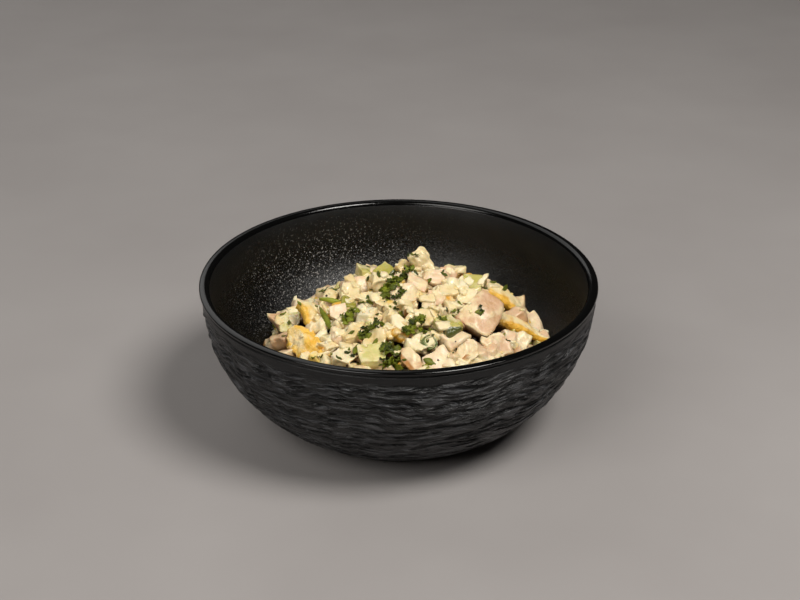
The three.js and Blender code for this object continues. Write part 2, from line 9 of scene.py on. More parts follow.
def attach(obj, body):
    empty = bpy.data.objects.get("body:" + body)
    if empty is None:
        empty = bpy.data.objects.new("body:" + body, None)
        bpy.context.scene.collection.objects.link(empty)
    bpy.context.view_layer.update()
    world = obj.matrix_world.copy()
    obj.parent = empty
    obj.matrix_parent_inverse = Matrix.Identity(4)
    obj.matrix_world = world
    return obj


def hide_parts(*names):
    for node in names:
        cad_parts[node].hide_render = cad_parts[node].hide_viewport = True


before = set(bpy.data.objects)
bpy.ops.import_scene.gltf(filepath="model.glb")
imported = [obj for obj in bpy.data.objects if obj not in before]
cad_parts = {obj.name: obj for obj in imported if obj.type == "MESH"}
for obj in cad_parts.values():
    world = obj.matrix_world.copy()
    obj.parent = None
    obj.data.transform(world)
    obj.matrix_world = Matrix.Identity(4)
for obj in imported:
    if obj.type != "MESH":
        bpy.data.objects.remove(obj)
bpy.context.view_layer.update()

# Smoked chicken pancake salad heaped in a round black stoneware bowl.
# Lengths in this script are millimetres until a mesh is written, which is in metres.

MM = 0.001

# Bowl, as in the solids
RIM_RADIUS = 85.0
BOWL_HEIGHT = 65.0
LIP_WIDTH = 4.2
LIP_DROP = 2.0
CREASE_DEPTH = 1.5
CREASE_HEIGHT = 0.9
WALL_TOP = 63.0
OUTER_RADIUS = 84.2
OUTER_DEPTH = 73.0
OUTER_POWER = 2.15
INNER_RADIUS = 80.6
FLOOR_HEIGHT = 7.5
INNER_POWER = 3.0
FOOT_OUTER_RADIUS = 46.0
FOOT_INNER_RADIUS = 41.0
FOOT_HEIGHT = 3.0
UNDERSIDE_HEIGHT = 2.0

# Bowl, only in the looks
BOWL_SECTORS = 400
CARVED_ROWS = 172
CARVED_TOP = 59.8
CARVED_BOTTOM = 5.0
CARVING_DEPTH = 0.75
CARVING_FADE = 3.0
LIP_ARC_START = -50
LIP_ARC_SWEEP = 220
LIP_ARC_STEPS = 22
LIP_OUTER_SQUARENESS = 0.75
INNER_STEPS = 24
# Painted glints, pale points in the grit on the inner wall at the back left: azimuth of their middle, and how
# far they reach to both sides
GLINTS_AZIMUTH = 122.0
GLINTS_SPREAD = 34.0

# Heap of salad, as in the solids
HEAP_CENTRE = (4.0, 2.0)
HEAP_RADIUS = 64.0
HEAP_EDGE_HEIGHT = 24.0
HEAP_TOP_HEIGHT = 50.0
HEAP_POWER = 2.6
# x, y, width, rise
HEAP_LUMPS = [
    (8, 30, 10, 5), (-14, 29, 8, 3), (40, 18, 12, 5), (-40, 2, 13, 4.5), (30, -26, 10, 2),
]
# Up to which random number each kind of small piece is drawn
KIND_LIMITS = dict(chicken=0.3, pancake=0.38, cucumber=0.58, egg=1.0)
SMALL_COUNT = 100
SMALL_REACH = 62.0
SMALL_JITTER = 1.5
SEED = 4063
# Added to the seed, one for each stream of random draws
STREAMS = dict(small=0, shapes=1, looks=2, fill=3, crumb=4, flake=5, pepper=6, herbs=7, scrap=8,
               torn=9, spots=10)
GOLDEN_ANGLE = math.pi * (3 - math.sqrt(5))
WALL_CLEARANCE = 2.0
ASKEW = 0.2
SLAB_DRAFT = 10.0
CORNER_CUTS = dict(chicken=3, pancake=2, cucumber=2, egg=2)

# Salad, only in the looks
EDGE_SHARPNESS = dict(chicken=30, pancake=9, cucumber=26, egg=15)
LUMPINESS = dict(chicken=0.5, pancake=0.9, cucumber=0.25, egg=0.8)
WARP = dict(chicken=1.3, pancake=1.5, cucumber=0.7, egg=1.9)
# How far the skin of a browned piece reaches, and the share of the other chicken that has some
BROWNED_STRENGTH = 3.2
SKINNED_SHARE = 0.35
# Warp that is left to a slab, whose outline is the photo's
SLAB_WARP = 0.25
# Seeds of the smooth noises
NOISE = dict(batter=5, fine_batter=6, sway=11, fine_sway=12, level=13, layers=21, broad=22,
             core=31, fine_core=32, swell=41, fine_swell=42, coat=77, fine_coat=78, scrap=91, fine_scrap=92)
# The dressing: size of its voxels, and the share of its faces that is kept where it is flat enough
DRESSING_VOXEL = 0.65
DRESSING_SHARE = 0.38
# The grid that the depth between pieces is read from: its step, half its width, and the cells to
# each side that it is smoothed over
RELIEF_STEP = 0.8
RELIEF_HALF = 72.0
RELIEF_REACH = 3
# The bare core: how far it lies under the heap's surface, how much deeper in a gap, and its steps
CORE_DROP = 6.0
GAP_DROP = 3.5
CORE_RINGS, CORE_SECTORS, CORE_WALL_RINGS = 90, 220, 13
# Clear radius from which a piece is large enough to be seen clean, and the least that a leaf is given
BARE_FROM = 6.0
LEAF_CLEAR = 5.0
# The leaflets' range of tilt in degrees, and the height that the rays down onto the salad start from
LEAF_TILT = 70
RAY_HEIGHT = 80
# How many there are of each, before those are left out that would lie on clean pieces or the wall
FILL_COUNT = 620
CRUMB_COUNT = 120
SCRAP_COUNT = 210
FLAKE_COUNT = 75
PEPPER_COUNT = 10
# Coarse grains of pepper: x, y
PEPPER_SPOTS = [(16.2, -38.8), (40, -30.6), (-43, -4)]
# Single pieces of chive: x, y, length, width, turn
CHIVE_SPOTS = [
    (12.8, -39.6, 5.6, 3, -20), (34.5, -9.5, 4.5, 2, 15), (-17.7, -33.4, 8, 2.6, 80),
    (44, -16, 5, 1.6, 70), (-10, -30, 6, 2.2, 75),
]
# Chopped parsley: x, y, how far it spreads, number of bits, size
HERB_SPOTS = [
    (1, 20, 4.5, 9, 5.5), (-2, 11.5, 4.5, 8, 5.5), (-0.5, 2.5, 4, 7, 5),
    (-14, 2.5, 3.5, 7, 5), (-21, -8.5, 4, 8, 5.5), (-0.5, -9, 3.5, 5, 4),
    (9, -6, 3, 5, 4.5), (23, -8, 3, 4, 3.5), (35, -9, 1.5, 4, 3),
    (30, -16, 2, 3, 3), (15, -21, 3.5, 5, 4), (8, -23.5, 4.5, 8, 4),
    (-14, -22.5, 2.5, 6, 5), (-8, -19.5, 2.5, 6, 4.5), (-3, -31, 3, 9, 6.5),
    (-3.5, -38, 4, 13, 7), (-18.5, -36, 1.5, 3, 3), (12, -30, 2, 4, 3),
    (-31, 22, 3.5, 5, 4), (-34, -31, 2, 3, 3),
]
# Where torn pieces lie between the large ones: kind, x, y, reach, size, count
TORN_ZONES = [
    ("egg", -11, 24, 6, 5, 9), ("cucumber", -9, 27, 5, 4.5, 7),
    ("chicken", 37, -27, 5, 7, 9), ("chicken", 47, -17, 5, 7, 8),
    ("chicken", 25, -37, 5, 6.5, 7), ("pancake", -35, -27, 5, 5.5, 8),
    ("egg", -30, -20, 5, 6, 7), ("egg", -46, -27, 4, 6, 5),
]
# Dark gaps between the pieces: x, y, radius
GAPS = [
    (-10.5, -4, 3.5), (-19.5, -13, 2.5), (-23, -25, 4),
    (30, -20, 4), (21, -25.5, 2.5), (2, -26, 2.5),
]


def large(kind, place, turns, **form):
    """A row of the table below. place: x, y on the heap. turns: degrees about Z, then Y, then X."""
    return dict(kind=kind, x=place[0], y=place[1], turn=turns[0], pitch=turns[1], roll=turns[2], **form)


# The large pieces. lift: height of the centre over the heap's surface. size: length, width, height.
# outline and thick, for a slab: the corners of its upper face, and its thickness.
# ridge, for a slab: azimuth, tilt and distance of a second upper face. tip, for a strip: share of its
# size that is left at its far end. clear: radius round it that the small pieces keep out of.
# browned: azimuth of the side with the smoked skin. skin: the piece keeps its green skin.
# cream: more dressing on it. lumpy: how torn it is.
LARGE_PIECES = [
    large("chicken", (34, -6), (-62, 42, 0), lift=0.5, thick=12, clear=11.5, ridge=(-128, 22, 6.5),
          outline=[(-11, 5.5), (-2, 12), (6, 6.5), (11, -2.5), (5, -8), (-3, -12.5)]),
    large("chicken", (17, -35.5), (-85, 38, 0), lift=-1, thick=9, clear=8,
          outline=[(-6.5, 2), (6.5, 8), (7.5, -7), (-1, -7.5)]),
    large("chicken", (6, -36.5), (-95, 35, 0), lift=-1, thick=9, clear=6.5, browned=-50,
          outline=[(-5, -5), (-5.5, -1.5), (-1.5, 3), (6, 5), (6, 0), (0.5, -5)]),
    large("chicken", (50.5, -11), (-60, 38, 0), lift=-0.5, thick=9, clear=7.5, cream=0.5, lumpy=1.2,
          outline=[(-6, -5), (-4.5, 2), (0, 6.5), (5.5, 1), (6, -5.5)]),
    large("chicken", (41, -22), (-80, 40, 0), lift=-0.5, thick=9, clear=8, cream=0.5, lumpy=1.4,
          outline=[(-5, -7), (-5.5, 2), (-1.5, 6.5), (3.5, 7), (5.5, 0), (3.5, -5)]),
    large("chicken", (34.5, -31.5), (-80, 40, 0), lift=-1.5, thick=8, clear=6, cream=0.3, lumpy=1.3,
          outline=[(-3, -5), (-3, 1), (-1, 5), (4, 3), (4.5, -4.5)]),
    large("chicken", (28.5, -30), (-95, 40, 0), lift=-1, thick=8, clear=6, cream=0.3, lumpy=1.3,
          outline=[(-4, -5), (-6, 0.5), (-5, 4.5), (1.5, 5), (6, 0), (4.5, -5)]),
    large("chicken", (22, 28.5), (-80, 48, 0), lift=2.5, thick=8, clear=5,
          outline=[(-3.5, -4), (-3.5, 1.5), (1, 4), (3.5, 2), (3.5, -3)]),
    large("chicken", (16, 4.5), (-85, 40, 0), lift=0.5, thick=8, clear=5,
          outline=[(-4, -3.5), (-4, 2), (0, 4), (4, 2), (4, -3.5)]),
    large("chicken", (-26, -5), (-80, 38, 0), lift=0.5, thick=6, clear=5,
          outline=[(-3, -4), (-4.5, 3.5), (2, 3.5), (4, -1), (1.5, -4)]),
    large("chicken", (2.5, 5), (20, 10, 25), lift=1, size=(11, 9, 8), clear=6),
    large("chicken", (8, 13), (-10, 8, 15), lift=1, size=(8, 6, 9), clear=5),
    large("chicken", (-19.5, 20), (15, 0, 30), lift=1, size=(10, 8, 6), clear=5),
    large("chicken", (-50, 4), (15, -14, 10), lift=1, size=(7, 8, 11), clear=5),
    large("chicken", (-49.5, -8), (-20, -20, 10), lift=0, size=(8, 8, 11), clear=6),
    large("chicken", (-48, -17), (-50, -18, 0), lift=-1, size=(11, 8, 9), clear=5),
    large("chicken", (16, 20), (-10, 0, 35), lift=1.5, size=(11, 7, 7), clear=5),
    large("chicken", (-4.5, -22.5), (20, 6, 20), lift=0.5, size=(9, 6, 6), clear=4),
    large("chicken", (4.5, -10), (10, 0, 25), lift=1.5, size=(5, 5, 11), clear=3),
    large("chicken", (59, 12), (-30, 35, 10), lift=1, size=(10, 7, 6), clear=5),
    large("chicken", (36, 23), (10, 10, 10), lift=1.5, size=(9, 7, 6), clear=4),
    large("chicken", (-30, 43), (35, 6, -12), lift=-1, size=(11, 9, 8), clear=6),
    large("chicken", (14, 50), (-20, 4, -20), lift=0, size=(15, 12, 10), clear=7),
    large("chicken", (-24, -47), (20, -8, 22), lift=0, size=(16, 12, 10), clear=8),
    large("chicken", (30, -47), (-30, 10, 22), lift=0, size=(15, 12, 9), clear=7),
    large("pancake", (-39.5, -16.5), (-110, 42, 0), lift=-0.5, thick=8, clear=9, lumpy=1.6,
          outline=[(-5.5, -9.5), (-8, -2.5), (-6.5, 5.5), (1, 9.5), (8, 6.5), (2.5, -8)]),
    large("pancake", (-2, -7), (35, 0, 20), lift=0.5, size=(8, 7, 7), clear=4.5),
    large("pancake", (50, 15), (-8, 36, 8), lift=1.5, size=(26, 9, 5), tip=0.8, clear=7),
    large("pancake", (54, -1.5), (-4, 18, 5), lift=2.5, size=(24, 8, 6), tip=0.3, clear=6),
    large("pancake", (-38, -4), (-58, 24, -15), lift=2.5, size=(13, 8, 4), tip=0.9, clear=5),
    large("pancake", (-32, -29.5), (-35, 15, 10), lift=1, size=(12, 4, 3), tip=0.8, clear=3),
    large("pancake", (-6, 44), (15, 4, -24), lift=2, size=(26, 11, 4), tip=0.9, clear=7),
    large("cucumber", (20.5, -20), (28, 0, 14), lift=1.5, size=(10, 9, 9), clear=6, skin=True),
    large("cucumber", (-11, -34), (12, 4, 24), lift=0, size=(11, 10, 9), clear=7),
    large("cucumber", (-15, 28), (20, 18, 0), lift=1.5, size=(7, 8, 8), clear=5),
    large("cucumber", (-7, 25), (50, -10, 12), lift=1.5, size=(8, 7, 7), clear=4, skin=True),
    large("cucumber", (-47.5, 2), (-105, 45, 0), lift=2, thick=5, clear=5,
          outline=[(-2.5, -5.5), (-5.5, 4.5), (0.5, 5.5), (4.5, 2), (5.5, -3)]),
    large("cucumber", (32, 17.5), (-20, 6, 20), lift=1.5, size=(10, 8, 5), clear=5),
    large("cucumber", (60, -4), (20, 25, 0), lift=0, size=(6, 7, 8), clear=4),
    large("egg", (9, -31), (25, 0, 12), lift=1.5, size=(9, 8, 8), clear=5),
    large("egg", (0.5, -18), (-80, 30, 0), lift=0.5, thick=7, clear=4,
          outline=[(-4, -4), (-4.5, 0), (0.5, 4), (4.5, 0.5), (0, -4)]),
    large("egg", (11, -13), (-85, 30, 0), lift=0.5, thick=8, clear=5,
          outline=[(-3.5, -5), (-5, 2), (-1, 5), (5, 2), (4, -4.5)]),
    large("egg", (-8, 18), (10, 0, 15), lift=1.5, size=(8, 8, 9), clear=5),
    large("egg", (-43.5, -25), (20, -5, 20), lift=-0.5, size=(9, 8, 8), clear=5),
    large("egg", (-9, -27), (15, 0, 15), lift=1, size=(9, 6, 6), clear=4),
    large("egg", (-18, -20), (22, 0, 10), lift=1, size=(13, 6, 5), clear=4),
    large("egg", (-22.5, -33), (38, 0, 10), lift=1, size=(8, 8, 7), clear=5),
    large("egg", (-20.5, 9), (10, 0, 12), lift=1, size=(9, 8, 8), clear=5),
    large("egg", (-13, 7), (-15, 0, 12), lift=1, size=(9, 6, 5), clear=4),
    large("egg", (-7, 1), (30, 0, 12), lift=1, size=(7, 7, 6), clear=4),
    large("egg", (26, 14), (25, 5, 25), lift=1, size=(9, 8, 6), clear=5),
    large("egg", (29, 7), (-20, 0, 25), lift=1, size=(9, 8, 5), clear=4),
    large("egg", (11, 27), (0, -24, 5), lift=3.5, size=(6.5, 7, 15), clear=6, cream=0.9, lumpy=1.5),
    large("egg", (24.5, 31.5), (20, 0, 0), lift=5, size=(8, 7, 6), clear=4),
    large("egg", (9, 21), (10, 0, 20), lift=2, size=(11, 4, 4), clear=3),
    large("egg", (-43, 8), (10, -10, 10), lift=2, size=(9, 7, 7), clear=5),
    large("onion", (12.5, -31.5), (20, 15, 40), lift=4, size=(6.5, 6.5, 3), clear=3),
    large("leaf", (-28.5, 2.5), (-4, 0, 25), lift=3.5, size=(12, 3.4, 0.9), clear=2),
    large("leaf", (-31, -10), (-66, 12, 10), lift=3.5, size=(15, 3.4, 0.9), clear=2),
    large("parsley", (-3, -37), (92, 0, 0), lift=3, size=(15, 8, 0.9), clear=4.5),
    large("parsley", (-3.5, 8.5), (60, 0, 0), lift=3, size=(11, 7, 0.9), clear=4),
    large("parsley", (-21, -9), (40, 0, 0), lift=3, size=(9, 7, 0.9), clear=4),
    large("parsley", (-11, -23), (25, 0, 0), lift=3, size=(10, 6, 0.9), clear=4),
    large("parsley", (6.5, -21), (50, 0, 0), lift=3, size=(12, 6, 0.9), clear=3),
    large("parsley", (2, 18), (30, 0, 0), lift=3, size=(8, 6, 0.9), clear=3),
    large("dill", (-31, 24), (10, 0, 0), lift=3, size=(9, 6, 0.9), clear=4),
    large("dill", (8, 26), (80, 50, 0), lift=8, size=(10, 3, 0.9), clear=3),
]


def seeded_random(seed):
    """Repeatable random numbers from 0 to 1, in the solids' order."""
    mask = 0xFFFFFFFF
    state = seed

    def draw():
        nonlocal state
        state = (state + 0x6D2B79F5) & mask
        mixed = ((state ^ (state >> 15)) * (state | 1)) & mask
        mixed ^= (mixed + ((mixed ^ (mixed >> 7)) * (mixed | 61))) & mask
        return ((mixed ^ (mixed >> 14)) & mask) / 2**32

    return draw


def stream(name):
    return seeded_random(SEED + STREAMS[name])


def lattice(cells, seed):
    """A random number from -1 to 1 for each whole-number cell."""
    mixed = cells[..., 0] * 73856093 ^ cells[..., 1] * 19349663 ^ cells[..., 2] * 83492791
    mixed = mixed ^ seed * 2654435761
    mixed = (mixed & 0xFFFFFFFF).astype(np.uint64)
    mixed = ((mixed ^ (mixed >> np.uint64(15))) * np.uint64(2246822519)) & np.uint64(0xFFFFFFFF)
    mixed = ((mixed ^ (mixed >> np.uint64(13))) * np.uint64(3266489917)) & np.uint64(0xFFFFFFFF)
    mixed ^= mixed >> np.uint64(16)
    return mixed.astype(float) / 2**31 - 1


def smooth_noise(points, size, seed):
    """Smooth noise from -1 to 1 at points, with lumps about as wide as size."""
    scaled = np.asarray(points, float) / np.asarray(size, float)
    cells = np.floor(scaled).astype(np.int64)
    part = scaled - cells
    part = part * part * (3 - 2 * part)
    total = np.zeros(scaled.shape[:-1])
    for corner in range(8):
        step = np.array([corner & 1, (corner >> 1) & 1, corner >> 2])
        weight = np.prod(np.where(step, part, 1 - part), axis=-1)
        total += weight * lattice(cells + step, seed)
    return total


def heap_height(x, y):
    """Height of the heap's surface."""
    reach = np.hypot(x - HEAP_CENTRE[0], y - HEAP_CENTRE[1]) / HEAP_RADIUS
    height = HEAP_EDGE_HEIGHT + (HEAP_TOP_HEIGHT - HEAP_EDGE_HEIGHT) * (1 - reach**HEAP_POWER)
    for lump_x, lump_y, width, rise in HEAP_LUMPS:
        distance = np.hypot(x - lump_x, y - lump_y)
        height = height + rise * np.exp(-(distance**2) / (2 * width**2))
    return height


def inner_radius(height):
    """Radius of the bowl's inner wall at a height."""
    depth = np.clip((WALL_TOP - height) / (WALL_TOP - FLOOR_HEIGHT), 0, 1)
    return INNER_RADIUS * np.sqrt(1 - depth**INNER_POWER)


def unit(vector):
    return vector / np.linalg.norm(vector)


def ring_around(angle, radius):
    return np.stack([radius * np.cos(angle), radius * np.sin(angle), 0 * angle], axis=-1)


def lifted(points, height):
    return points + np.stack([0 * height, 0 * height, height], axis=-1)


# Joined meshes


class Batch:
    """Gathers small closed forms of one kind, then makes them one mesh."""

    def __init__(self, name):
        self.name = name
        self.points = []
        self.faces = []
        self.tones = []
        self.marks = []
        self.cream = []
        self.count = 0

    def add(self, points, faces, tone=0.5, marks=None, cream=0.0):
        """tone: one random value for the form. marks: a value for each point, such as where skin is."""
        self.points.append(points)
        self.faces += [[corner + self.count for corner in face] for face in faces]
        self.tones.append(np.full(len(points), tone))
        self.marks.append(np.zeros(len(points)) if marks is None else marks)
        self.cream.append(np.full(len(points), cream))
        self.count += len(points)

    def absorb(self, other):
        self.add(np.concatenate(other.points), other.faces)

    def make(self, material, relief):
        points = np.concatenate(self.points)
        piece = make_piece(self.name, points, self.faces, material, "salad")
        set_attribute(piece, "tone", np.concatenate(self.tones))
        set_attribute(piece, "mark", np.concatenate(self.marks))
        coat = smooth_noise(points, 6.0, NOISE["coat"]) + 0.5 * smooth_noise(points, 2.2, NOISE["fine_coat"])
        set_attribute(piece, "coat", coat + np.concatenate(self.cream))
        set_attribute(piece, "depth", relief.depth(points))
        return piece


class Relief:
    """The salad's top, smoothed, on a grid, to tell how deep a point lies between its neighbours."""

    count = int(2 * RELIEF_HALF / RELIEF_STEP)

    def __init__(self, points):
        level = (np.arange(self.count) + 0.5) * RELIEF_STEP - RELIEF_HALF
        x, y = np.meshgrid(level, level, indexing="ij")
        grid = np.full((self.count, self.count), -1.0)
        np.maximum.at(grid, self.cells(points), points[:, 2])
        grid = np.where(grid < 0, heap_height(x, y), grid)
        steps = range(-RELIEF_REACH, RELIEF_REACH + 1)
        for _ in range(3):
            for axis in (0, 1):
                grid = sum(np.roll(grid, step, axis) for step in steps) / len(steps)
        self.grid = grid

    def cells(self, points):
        cells = np.clip(((points[:, :2] + RELIEF_HALF) / RELIEF_STEP).astype(int), 0, self.count - 1)
        return cells[:, 0], cells[:, 1]

    def depth(self, points):
        return self.grid[self.cells(points)] - points[:, 2]


def make_piece(name, points, faces, material, slot):
    """A mesh piece in metres from points in millimetres. Without a slot it is part of the stage."""
    mesh = bpy.data.meshes.new(name)
    mesh.from_pydata((np.asarray(points) * MM).tolist(), [], faces)
    mesh.validate()
    mesh.polygons.foreach_set("use_smooth", [True] * len(mesh.polygons))
    mesh.materials.append(material)
    piece = bpy.data.objects.new(name, mesh)
    bpy.context.scene.collection.objects.link(piece)
    if slot:
        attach(piece, "root")
    return piece


def set_attribute(piece, name, values):
    layer = piece.data.attributes.new(name, "FLOAT", "POINT")
    layer.data.foreach_set("value", np.asarray(values, np.float32))


# Forms, each points and faces about the origin


def cube_grid(steps):
    """Points on a cube from -1 to 1 and the faces between them."""
    index = {}
    faces = []
    levels = np.linspace(-1, 1, steps + 1)
    for axis in range(3):
        for side in (0, steps):
            for row in range(steps):
                for column in range(steps):
                    ring = []
                    for a, b in ((row, column), (row + 1, column), (row + 1, column + 1), (row, column + 1)):
                        key = [0, 0, 0]
                        key[axis] = side
                        key[(axis + 1) % 3] = a
                        key[(axis + 2) % 3] = b
                        ring.append(index.setdefault(tuple(key), len(index)))
                    faces.append(ring if side else ring[::-1])
    points = np.array([[levels[k] for k in key] for key in index])
    return points, faces


CRUMB_STEPS, SCRAP_STEPS, SMALL_STEPS, LARGE_STEPS = 3, 5, 7, 17
CUBE_GRIDS = {steps: cube_grid(steps) for steps in (CRUMB_STEPS, SCRAP_STEPS, SMALL_STEPS, LARGE_STEPS)}


def box_planes(size, random, cuts):
    """Knife cuts as (outward normal, distance): six faces, each a little askew, and cuts across corners."""
    half = np.array(size) / 2
    planes = []
    for axis in range(3):
        for side in (-1, 1):
            normal = np.array([ASKEW * (2 * random() - 1) for _ in range(3)])
            normal[axis] = side
            normal = unit(normal)
            planes.append((normal, half[axis] * abs(normal[axis])))
    for _ in range(cuts):
        normal = unit(np.array([2 * random() - 1 for _ in range(3)]))
        share = 0.66 + 0.2 * random()
        planes.append((normal, share * np.abs(normal) @ half))
    return planes


def slab_planes(piece):
    """A slab's faces: its sides draw in a little downward."""
    half = piece["thick"] / 2
    draft = math.radians(SLAB_DRAFT)
    up = np.array([0, 0, 1.0])
    planes = [(up, half), (-up, half)]
    corners = np.array(piece["outline"], float)
    for here, ahead in zip(corners, np.roll(corners, -1, axis=0)):
        along = ahead - here
        side = unit(np.array([along[1], -along[0], 0]))
        side = side if side[:2] @ here > 0 else -side
        normal = math.cos(draft) * side - math.sin(draft) * up
        planes.append((normal, normal @ np.array([*here, half])))
    if "ridge" in piece:
        azimuth, tilt = (math.radians(value) for value in piece["ridge"][:2])
        flat = np.array([math.cos(azimuth), math.sin(azimuth), 0])
        planes.append((math.sin(tilt) * flat + math.cos(tilt) * up, piece["ridge"][2]))
    return planes


def slab_size(piece):
    spans = np.ptp(np.array(piece["outline"], float), axis=0)
    return (*spans, piece["thick"])


def convex(planes, size, steps, rounding):
    """The closed form inside all the planes, its edges slightly rounded, and each point's direction."""
    cube, faces = CUBE_GRIDS[steps]
    directions = cube * np.array(size)
    directions = directions / np.linalg.norm(directions, axis=1)[:, None]
    total = sum(np.maximum(directions @ normal / distance, 0) ** rounding for normal, distance in planes)
    return directions * (total ** (-1 / rounding))[:, None], faces, directions


def sheet(length, width, outline, bend, half_thickness, steps):
    """A closed wavy sheet. outline gives its half width, bend its height, along and across it."""
    along_steps, across_steps = steps
    row = across_steps + 1
    along, across = np.meshgrid(
        np.linspace(0, 1, along_steps + 1), np.linspace(-1, 1, across_steps + 1), indexing="ij"
    )
    x = length * (along - 0.5)
    y = width / 2 * across * outline(along)
    z = bend(along, across)
    half = half_thickness(along, across)
    top = np.stack([x, y, z + half], axis=-1).reshape(-1, 3)
    bottom = np.stack([x, y, z - half], axis=-1).reshape(-1, 3)
    layer = len(top)
    faces = []
    for step in range(along_steps):
        for column in range(across_steps):
            corner = step * row + column
            faces.append([corner, corner + row, corner + row + 1, corner + 1])
            faces.append([layer + corner, layer + corner + 1, layer + corner + row + 1, layer + corner + row])
        near = step * row
        far = near + across_steps
        faces.append([near, layer + near, layer + near + row, near + row])
        faces.append([far, far + row, layer + far + row, layer + far])
    for column in range(across_steps):
        last = along_steps * row + column
        faces.append([column, column + 1, layer + column + 1, layer + column])
        faces.append([last, layer + last, layer + last + 1, last + 1])
    return np.concatenate([top, bottom]), faces


def ring_faces(rings, sides):
    """The faces between rings of points that follow each other."""
    faces = []
    for near in range(0, (rings - 1) * sides, sides):
        far = near + sides
        for step in range(sides):
            beside = (step + 1) % sides
            faces.append([near + step, near + beside, far + beside, far + step])
    return faces


def loft(rings):
    """A closed form through rings of points, each ring with as many points."""
    sides = len(rings[0])
    last = (len(rings) - 1) * sides
    first_cap, last_cap = list(range(sides))[::-1], list(range(last, last + sides))
    return np.concatenate(rings), [first_cap, *ring_faces(len(rings), sides), last_cap]


def tube(route, radius, sides=6):
    """A closed tube along a route of points, thinner at its end."""
    route = np.asarray(route, float)
    angle = 2 * math.pi * np.arange(sides) / sides
    rings = []
    for index, centre in enumerate(route):
        ahead = unit(route[min(index + 1, len(route) - 1)] - route[max(index - 1, 0)])
        helper = np.array([0, 0, 1.0]) if abs(ahead[2]) < 0.8 else np.array([1.0, 0, 0])
        side = unit(np.cross(ahead, helper))
        up = np.cross(side, ahead)
        thick = radius * (1 if index < len(route) - 1 else 0.5)
        rings.append(centre + thick * (np.outer(np.cos(angle), side) + np.outer(np.sin(angle), up)))
    return loft(rings)


def rotation(turn, pitch, roll):
    """Degrees about Z, then Y, then X, as the solids are turned."""
    x = Matrix.Rotation(math.radians(roll), 3, "X")
    y = Matrix.Rotation(math.radians(pitch), 3, "Y")
    z = Matrix.Rotation(math.radians(turn), 3, "Z")
    return np.array(z @ y @ x)


def place_piece(points, piece):
    """Turns a form and stands it on the heap."""
    x, y = piece["x"], piece["y"]
    points = np.asarray(points) @ rotation(piece["turn"], piece["pitch"], piece["roll"]).T
    return points + np.array([x, y, heap_height(x, y) + piece["lift"]])


# Materials


# The shader's sockets that are set to uniform values
SOCKETS = dict(
    roughness="Roughness", specular="Specular IOR Level", coat="Coat Weight", coat_roughness="Coat Roughness",
    scatter="Subsurface Weight", scatter_radius="Subsurface Radius", scatter_scale="Subsurface Scale")


def new_material(name):
    material = bpy.data.materials.new(name)
    material.use_nodes = True
    tree = material.node_tree
    return material, tree, tree.nodes["Principled BSDF"]


def node(tree, kind, **values):
    made = tree.nodes.new(kind)
    for name, value in values.items():
        if name in made.inputs:
            made.inputs[name].default_value = value
        else:
            setattr(made, name, value)
    return made


def set_inputs(shader, **values):
    """Sets uniform values, each straight on its socket."""
    for name, value in values.items():
        shader.inputs[SOCKETS[name]].default_value = value


def noise_node(tree, scale, detail=4.0, roughness=0.55):
    """Noise in the object's own coordinates. scale is in lumps for each metre."""
    coordinates = node(tree, "ShaderNodeTexCoord")
    noise = node(tree, "ShaderNodeTexNoise", Scale=scale, Detail=detail, Roughness=roughness)
    tree.links.new(coordinates.outputs["Object"], noise.inputs["Vector"])
    return noise.outputs["Fac"]


def ramp(tree, factor, stops):
    """A colour ramp with stops as (place, colour)."""
    made = node(tree, "ShaderNodeValToRGB")
    elements = made.color_ramp.elements
    while len(elements) < len(stops):
        elements.new(0.5)
    for element, (place, colour) in zip(elements, stops):
        element.position = place
        element.color = (*colour, 1)
    tree.links.new(factor, made.inputs["Fac"])
    return made.outputs["Color"]


def mix(tree, factor, first, second):
    made = node(tree, "ShaderNodeMix", data_type="RGBA")
    factor_socket, first_socket, second_socket = made.inputs[0], made.inputs[6], made.inputs[7]
    tree.links.new(factor, factor_socket)
    tree.links.new(first, first_socket)
    second_socket.default_value = (*second, 1)
    return made.outputs[2]


def add_values(tree, first, second, operation="ADD"):
    made = node(tree, "ShaderNodeMath", operation=operation)
    tree.links.new(first, made.inputs[0])
    tree.links.new(second, made.inputs[1])
    return made.outputs[0]


def attribute(tree, name):
    return node(tree, "ShaderNodeAttribute", attribute_name=name).outputs["Fac"]


def bump(tree, shader, height, strength, distance):
    made = node(tree, "ShaderNodeBump", Strength=strength, Distance=distance)
    tree.links.new(height, made.inputs["Height"])
    tree.links.new(made.outputs["Normal"], shader.inputs["Normal"])


def spread(tree, value, low, high, to_low=0.0, to_high=1.0):
    """Maps a value's range to another."""
    made = node(tree, "ShaderNodeMapRange")
    tree.links.new(value, made.inputs["Value"])
    for name, number in (("From Min", low), ("From Max", high), ("To Min", to_low), ("To Max", to_high)):
        made.inputs[name].default_value = number
    return made.outputs["Result"]


# Colours of the dressing, and of the painted shade between the pieces: brown where a point lies somewhat
# deep, near black in the deepest gaps
CREAM = (0.89, 0.75, 0.45)
GAP_SHADE = (0.17, 0.075, 0.006)
DEEP_SHADE = (0.03, 0.01, 0.003)


